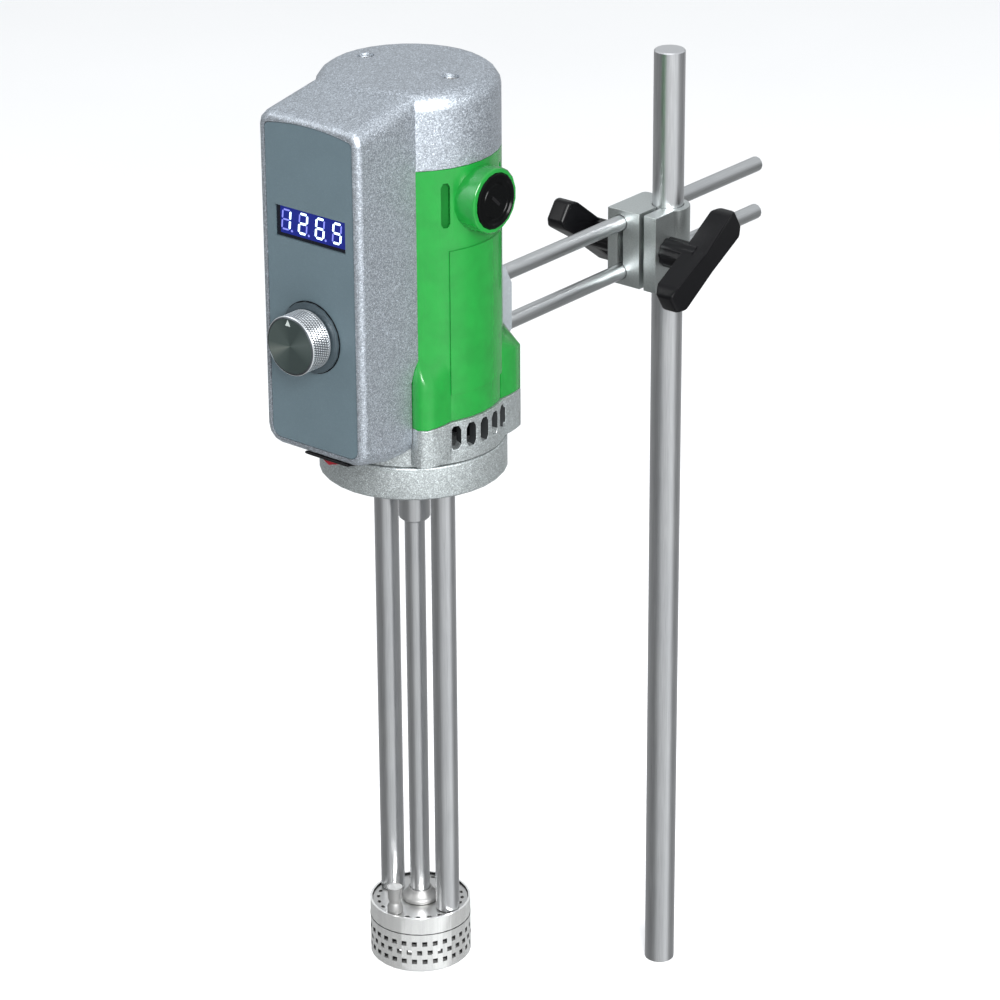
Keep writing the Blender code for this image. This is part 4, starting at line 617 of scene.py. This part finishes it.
# Brightness of the surround by compass direction, -180 to 180 from -Y towards +X: the rods mirror its bands
SURROUND = ((-180, 0.45), (-107, 0.36), (-63, 0.22), (-25, 0.19), (-12, 0.23), (-1, 0.3), (9, 0.48),
            (22, 0.58), (50, 0.62), (68, 0.68), (80, 0.85), (91, 0.92), (101, 0.74), (114, 0.4),
            (128, 0.27), (160, 0.28), (180, 0.45))
SURROUND_TINT = (0.98, 1.0, 1.01)
SKY = (0.78, 0.8, 0.82)
# The bands fade into the sky while the upward part of the direction goes from one to the other
FADE_LOW, FADE_HIGH = -0.05, 0.45


def add_floor():
    """Pale floor that the polished parts don't mirror."""
    solid = bmesh.new()
    solid.faces.new([solid.verts.new((x * FLOOR_HALF, y * FLOOR_HALF, 0.0)) for x, y in CORNERS])
    mesh = bpy.data.meshes.new("studio_floor")
    solid.to_mesh(mesh)
    solid.free()
    floor = bpy.data.objects.new("studio_floor", mesh)
    bpy.context.scene.collection.objects.link(floor)
    finish = Finish("pale_floor", (0.9, 0.9, 0.9), 0.9)
    finish.colour(finish.ramp(finish.noise(300.0), (0.3, (0.9, 0.9, 0.9)), (0.7, (0.92, 0.92, 0.92))))
    mesh.materials.append(finish.material)
    floor.visible_glossy = False


def add_softbox(name, azimuth, elevation, distance, size, power):
    """Area light that looks at the foot of the motor from that direction."""
    data = bpy.data.lights.new(name, "AREA")
    data.shape = "RECTANGLE"
    data.size, data.size_y = size
    data.energy = power
    light = bpy.data.objects.new(name, data)
    direction = away(azimuth, elevation)
    light.location = spot(0.0, 0.0, 0.0) + direction * distance
    light.rotation_euler = direction.to_track_quat("Z", "Y").to_euler()
    bpy.context.scene.collection.objects.link(light)


def add_world():
    """Studio surround: bands by compass direction below, which the rods mirror, and a pale sky."""
    world = bpy.data.worlds.new("studio")
    bpy.context.scene.world = world
    world.use_nodes = True
    tree = world.node_tree
    place = tree.nodes.new("ShaderNodeTexCoord").outputs["Generated"]
    split = tree.nodes.new("ShaderNodeSeparateXYZ")
    tree.links.new(place, split.inputs[0])
    front = tree.nodes.new("ShaderNodeMath")
    front.operation = "MULTIPLY"
    front.inputs[1].default_value = -1.0
    tree.links.new(split.outputs["Y"], front.inputs[0])
    compass = tree.nodes.new("ShaderNodeMath")
    compass.operation = "ARCTAN2"
    tree.links.new(split.outputs["X"], compass.inputs[0])
    tree.links.new(front.outputs[0], compass.inputs[1])
    share = tree.nodes.new("ShaderNodeMapRange")
    share.inputs["From Min"].default_value = -math.pi
    share.inputs["From Max"].default_value = math.pi
    tree.links.new(compass.outputs[0], share.inputs["Value"])
    bands = tree.nodes.new("ShaderNodeValToRGB")
    elements = bands.color_ramp.elements
    while len(elements) < len(SURROUND):
        elements.new(0.5)
    for element, (degrees, value) in zip(elements, SURROUND):
        element.position = (degrees + 180.0) / 360.0
        element.color = (*(value * tint for tint in SURROUND_TINT), 1.0)
    tree.links.new(share.outputs["Result"], bands.inputs["Fac"])
    height = tree.nodes.new("ShaderNodeMapRange")
    height.inputs["From Min"].default_value = FADE_LOW
    height.inputs["From Max"].default_value = FADE_HIGH
    tree.links.new(split.outputs["Z"], height.inputs["Value"])
    mixed = tree.nodes.new("ShaderNodeMix")
    mixed.data_type = "RGBA"
    tree.links.new(height.outputs["Result"], mixed.inputs["Factor"])
    tree.links.new(bands.outputs["Color"], mixed.inputs[MIX_FIRST])
    mixed.inputs[MIX_SECOND].default_value = (*SKY, 1.0)
    background = tree.nodes["Background"]
    background.inputs["Strength"].default_value = 1.0
    tree.links.new(mixed.outputs[MIX_RESULT], background.inputs["Color"])


# Display: the window inside the module's rim, the figures in it and the layers in front of its face

DISPLAY_RIM = 2.0 * MM
GLOW_LEFT, GLOW_LOW, GLOW_HIGH = 2.7 * MM, 1.9 * MM, 0.3 * MM
GLOW_FRONT = 0.06 * MM
BAR_FRONT, BAR_BACK = 0.16 * MM, 0.08 * MM
DIGITS = "1265"
SEGMENTS = {"1": "bc", "2": "abged", "6": "afgedc", "5": "afgcd"}
DIGIT_HALF = 4.8 * MM
DIGIT_WIDTH = 4.7 * MM
DIGIT_PITCH = 10.4 * MM
DIGIT_LEAN = 0.1
FIRST_DIGIT = 3.9 * MM
DIGIT_MIDDLE = 8.7 * MM
BAR_WIDTH = 1.1 * MM
BAR_GAP = 0.35 * BAR_WIDTH
UNLIT_WIDTH = 0.72 * BAR_WIDTH
DOT_RADIUS = 0.6 * MM
DOT_ASIDE, DOT_DOWN = 1.5 * MM, 0.2 * MM
DOT_CORNERS = 12
TOP_LEFT, TOP_RIGHT = (0.0, DIGIT_HALF), (DIGIT_WIDTH, DIGIT_HALF)
MID_LEFT, MID_RIGHT = (0.0, 0.0), (DIGIT_WIDTH, 0.0)
LOW_LEFT, LOW_RIGHT = (0.0, -DIGIT_HALF), (DIGIT_WIDTH, -DIGIT_HALF)
BAR_ENDS = {"a": (TOP_LEFT, TOP_RIGHT), "b": (TOP_RIGHT, MID_RIGHT), "c": (MID_RIGHT, LOW_RIGHT),
            "d": (LOW_LEFT, LOW_RIGHT), "e": (MID_LEFT, LOW_LEFT), "f": (TOP_LEFT, MID_LEFT),
            "g": (MID_LEFT, MID_RIGHT)}


def bar_outline(start, end, width):
    """Pointed bar between two corners of a digit."""
    start, end = Vector(start), Vector(end)
    along = (end - start).normalized()
    across = Vector((-along.y, along.x)) * width / 2
    one, two = start + along * BAR_GAP, end - along * BAR_GAP
    tip = along * width * 0.4
    return [one, one + tip + across, two - tip + across, two, two - tip - across, one + tip - across]


def add_digits():
    """Seven-segment figures that lean a little, with the unlit segments faintly seen."""
    low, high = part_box("display_module")
    face = low.y
    window_left, window_low = low.x + DISPLAY_RIM, low.z + DISPLAY_RIM
    left, right = window_left + GLOW_LEFT, high.x - DISPLAY_RIM
    bottom, top = window_low + GLOW_LOW, high.z - DISPLAY_RIM - GLOW_HIGH
    glow = bmesh.new()
    plate(glow, [(left, bottom), (right, bottom), (right, top), (left, top)], face - GLOW_FRONT, face)
    add_piece("display_glow", glow, "glow", "mixer")
    middle = window_low + DIGIT_MIDDLE
    lit_bars, unlit_bars = bmesh.new(), bmesh.new()
    for index, digit in enumerate(DIGITS):
        left = window_left + FIRST_DIGIT + index * DIGIT_PITCH
        for letter, (start, end) in BAR_ENDS.items():
            is_lit = letter in SEGMENTS[digit]
            outline = bar_outline(start, end, BAR_WIDTH if is_lit else UNLIT_WIDTH)
            outline = [(left + point.x + DIGIT_LEAN * point.y, middle + point.y) for point in outline]
            plate(lit_bars if is_lit else unlit_bars, outline, face - BAR_FRONT, face - BAR_BACK)
        if index < len(DIGITS) - 1:
            dot_x = left + DIGIT_WIDTH + DOT_ASIDE - DIGIT_LEAN * DIGIT_HALF
            dot_z = middle - DIGIT_HALF - DOT_DOWN
            turns = [2 * math.pi * corner / DOT_CORNERS for corner in range(DOT_CORNERS)]
            dot = [(dot_x + DOT_RADIUS * math.cos(turn), dot_z + DOT_RADIUS * math.sin(turn))
                   for turn in turns]
            plate(unlit_bars, dot, face - BAR_FRONT, face - BAR_BACK)
    add_piece("lit_segments", lit_bars, "segment_on", "mixer")
    add_piece("unlit_segments", unlit_bars, "segment_off", "mixer")


# Knob

KNOB_STEPS = 96
KNURL_TEETH = 76
KNURL_ROWS = 7
TOOTH_HEIGHT = 0.42 * MM
TOOTH_SHARP_ANGLE = math.radians(24.0)
# Depths behind the front of the knob
KNURL_FRONT, KNURL_BACK = 1.1 * MM, 0.8 * MM
RIM_CORNER, FACE_DEPTH, FACE_SEAT = 0.7 * MM, 0.22 * MM, 0.35 * MM
# The face inside the rim, and the bore for the encoder's shaft
FACE_RIM = 0.9 * MM
BORE_RADIUS, BORE_DEPTH = 3.4 * MM, 2.0 * MM
# The mark: how far left of the axis it stands, its half width, and the heights of its base and tip
MARK_ASIDE, MARK_HALF, MARK_BASE, MARK_TIP = 1.0 * MM, 1.5 * MM, 9.9 * MM, 13.0 * MM
MARK_FRONT = 0.14 * MM


def add_knob():
    """Aluminium knob: diamond knurled skirt, bright turned edge and dark spun face."""
    low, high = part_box("speed_knob")
    centre_x, centre_z = (low.x + high.x) / 2, (low.z + high.z) / 2
    radius = (high.x - low.x) / 2
    length = high.y - low.y
    place = Matrix.Translation((centre_x, low.y, centre_z)) @ Matrix.Rotation(-math.pi / 2, 4, "X")
    face_radius = radius - FACE_RIM
    first, last = KNURL_FRONT, length - KNURL_BACK
    front = [(0.0, FACE_SEAT), (face_radius - 0.1 * MM, FACE_SEAT), (face_radius, 0.0),
             (radius, RIM_CORNER), (radius, first - 0.1 * MM)]
    knurl = [(radius - KNURL_DEPTH, first + (last - first) * row / KNURL_ROWS)
             for row in range(KNURL_ROWS + 1)]
    back = [(radius - 0.1 * MM, last + 0.1 * MM), (radius - 0.2 * MM, length), (BORE_RADIUS, length),
            (BORE_RADIUS, BORE_DEPTH), (0.0, BORE_DEPTH)]

    def twist(row):
        return 0.5 * min(max(row - len(front), 0), KNURL_ROWS)

    solid = lathe(front + knurl + back, KNURL_TEETH, place, twist)
    bmesh.ops.recalc_face_normals(solid, faces=solid.faces)
    teeth = []
    for face in solid.faces:
        middle = face.calc_center_median()
        reach = math.hypot(middle.x - centre_x, middle.z - centre_z)
        if low.y + first < middle.y < low.y + last and reach > BORE_RADIUS * 2:
            teeth.append(face)
        else:
            face.smooth = True
    bmesh.ops.poke(solid, faces=teeth, offset=TOOTH_HEIGHT)
    skirt = add_piece("speed_knob_skirt", solid, "knob_side", "knob")
    skirt.data.set_sharp_from_angle(angle=TOOTH_SHARP_ANGLE)
    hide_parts("speed_knob")
    disc_radius, disc_back = face_radius - 0.25 * MM, FACE_SEAT + 0.05 * MM
    disc = [(0.0, FACE_DEPTH), (disc_radius, FACE_DEPTH), (disc_radius, disc_back), (0.0, disc_back)]
    smooth(add_piece("speed_knob_face", lathe(disc, KNOB_STEPS, place), "knob_face", "knob"))
    mark = bmesh.new()
    middle, base = centre_x - MARK_ASIDE, centre_z + MARK_BASE
    outline = [(middle - MARK_HALF, base), (middle + MARK_HALF, base), (middle, centre_z + MARK_TIP)]
    plate(mark, outline, low.y + MARK_FRONT, low.y + FACE_DEPTH)
    add_piece("knob_mark", mark, "white", "knob")


def add_seat_line():
    """Thin black joint round the knob's seat disc."""
    low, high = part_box("knob_seat_ring")
    radius = (high.x - low.x) / 2
    place = Matrix.Translation(((low.x + high.x) / 2, high.y, (low.z + high.z) / 2)) \
        @ Matrix.Rotation(math.pi / 2, 4, "X")
    outer, inner = radius + 0.35 * MM, radius - 1.0 * MM
    behind, front = -0.2 * MM, 0.1 * MM
    profile = [(inner, behind), (inner, front), (outer, front), (outer, behind)]
    add_ring("seat_line", place, profile, KNOB_STEPS, "black")


# Brush caps: depths below the rim's top, distances in from the rim, and the coin slot

CAP_STEPS = 72
CAP_FACE = 0.7 * MM
CAP_GROOVE = 1.0 * MM
SLOT_HALF_LENGTH, SLOT_HALF_WIDTH = 3.6 * MM, 0.75 * MM
SLOT_BOTTOM, SLOT_TOP = 0.9 * MM, 0.6 * MM
SLOT_TURN = math.radians(48.0)


def add_brush_caps():
    """Black screw plugs: rounded rim, stepped face, a groove and a short coin slot."""
    for side, sign in (("left", -1.0), ("right", 1.0)):
        low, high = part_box("brush_cap_" + side)
        radius = (high.z - low.z) / 2
        top = high.x - low.x
        face, groove = top - CAP_FACE, top - CAP_GROOVE
        base = Vector((low.x if sign > 0 else high.x, (low.y + high.y) / 2, (low.z + high.z) / 2))
        axis = Vector((sign, 0.0, 0.0))
        place = Matrix.Translation(base) @ axis.to_track_quat("Z", "X").to_matrix().to_4x4()
        rim = [(0.0, 0.0), (radius, 0.0), (radius, top - 1.1 * MM), (radius - 0.35 * MM, top - 0.35 * MM),
               (radius - 1.1 * MM, top), (radius - 2.0 * MM, top), (radius - 2.6 * MM, face)]
        inside = [(radius - 4.4 * MM, face), (radius - 4.7 * MM, groove), (radius - 5.1 * MM, groove),
                  (radius - 5.4 * MM, face), (0.0, face)]
        solid = lathe(rim + inside, CAP_STEPS, place)
        plug = add_piece("brush_plug_" + side, solid, "black_gloss", "mixer")
        smooth(plug)
        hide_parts("brush_cap_" + side)
        along = Vector((math.cos(SLOT_TURN), math.sin(SLOT_TURN)))
        across = Vector((-along.y, along.x))
        corners = [along * a * SLOT_HALF_LENGTH + across * b * SLOT_HALF_WIDTH for a, b in CORNERS]
        loops = [[place @ Vector((corner.x, corner.y, height)) for corner in corners]
                 for height in (top - SLOT_BOTTOM, top - SLOT_TOP)]
        slot = bmesh.new()
        prism(slot, *loops)
        add_piece("coin_slot_" + side, slot, "carbon", "mixer")


# The narrow air slots beside the brush bosses: their angle from the bosses, and their floors

VENT_TURN = 27.0
VENT_ANGLES = {"right_front": -VENT_TURN, "right_back": VENT_TURN, "left_back": 180.0 - VENT_TURN,
               "left_front": 180.0 + VENT_TURN}
VENT_FLOOR_DEPTH = 2.6 * MM
VENT_FLOOR_HALF = (2.2 * MM, 11.1 * MM, 0.6 * MM)


def add_slot_floors():
    """Green floors inside the narrow air slots beside the brush bosses, darker as painted shade."""
    half_width, half_height, half_thickness = VENT_FLOOR_HALF
    low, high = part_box("brush_cap_right")
    centre = Vector((AXIS_X, AXIS_Y, (low.z + high.z) / 2))
    for where, degrees in VENT_ANGLES.items():
        turn = math.radians(degrees)
        outward = Vector((math.cos(turn), math.sin(turn), 0.0))
        across = Vector((-outward.y, outward.x, 0.0))
        middle = centre + outward * (SHELL_RADIUS - VENT_FLOOR_DEPTH)
        corners = [across * a * half_width + Vector((0.0, 0.0, b * half_height)) for a, b in CORNERS]
        floor = bmesh.new()
        prism(floor, [middle - outward * half_thickness + corner for corner in corners],
              [middle + outward * half_thickness + corner for corner in corners])
        add_piece("slot_floor_" + where, floor, "green_shaded", "mixer")


# The line round the working head: how far below its top, half its height, and how deep it is let in

HEAD_STEPS = 120
HEAD_LINE_DROP = 9.0 * MM
HEAD_LINE_HALF = 0.22 * MM
HEAD_LINE_DEPTH, HEAD_LINE_PROUD = 0.4 * MM, 0.02 * MM


def add_head_line():
    """Fine turned line round the working head, above the holes."""
    place = Matrix.Translation((AXIS_X, AXIS_Y, head_high.z - HEAD_LINE_DROP))
    inner, outer = HEAD_RADIUS - HEAD_LINE_DEPTH, HEAD_RADIUS + HEAD_LINE_PROUD
    profile = [(inner, -HEAD_LINE_HALF), (outer, -HEAD_LINE_HALF), (outer, HEAD_LINE_HALF),
               (inner, HEAD_LINE_HALF)]
    add_ring("head_line", place, profile, HEAD_STEPS, "shadowed")


dress_nodes()
add_camera()
add_floor()
add_world()
add_softbox("key_softbox", azimuth=55, elevation=30, distance=2.2, size=(1.4, 1.2), power=106)
add_softbox("left_softbox", azimuth=-40, elevation=30, distance=2.2, size=(0.8, 1.4), power=9)
add_softbox("top_softbox", azimuth=20, elevation=80, distance=1.8, size=(1.2, 1.2), power=3)
add_digits()
add_knob()
add_seat_line()
add_brush_caps()
add_slot_floors()
add_head_line()

bpy.context.scene.view_settings.view_transform = "Standard"
bpy.context.view_layer.update()
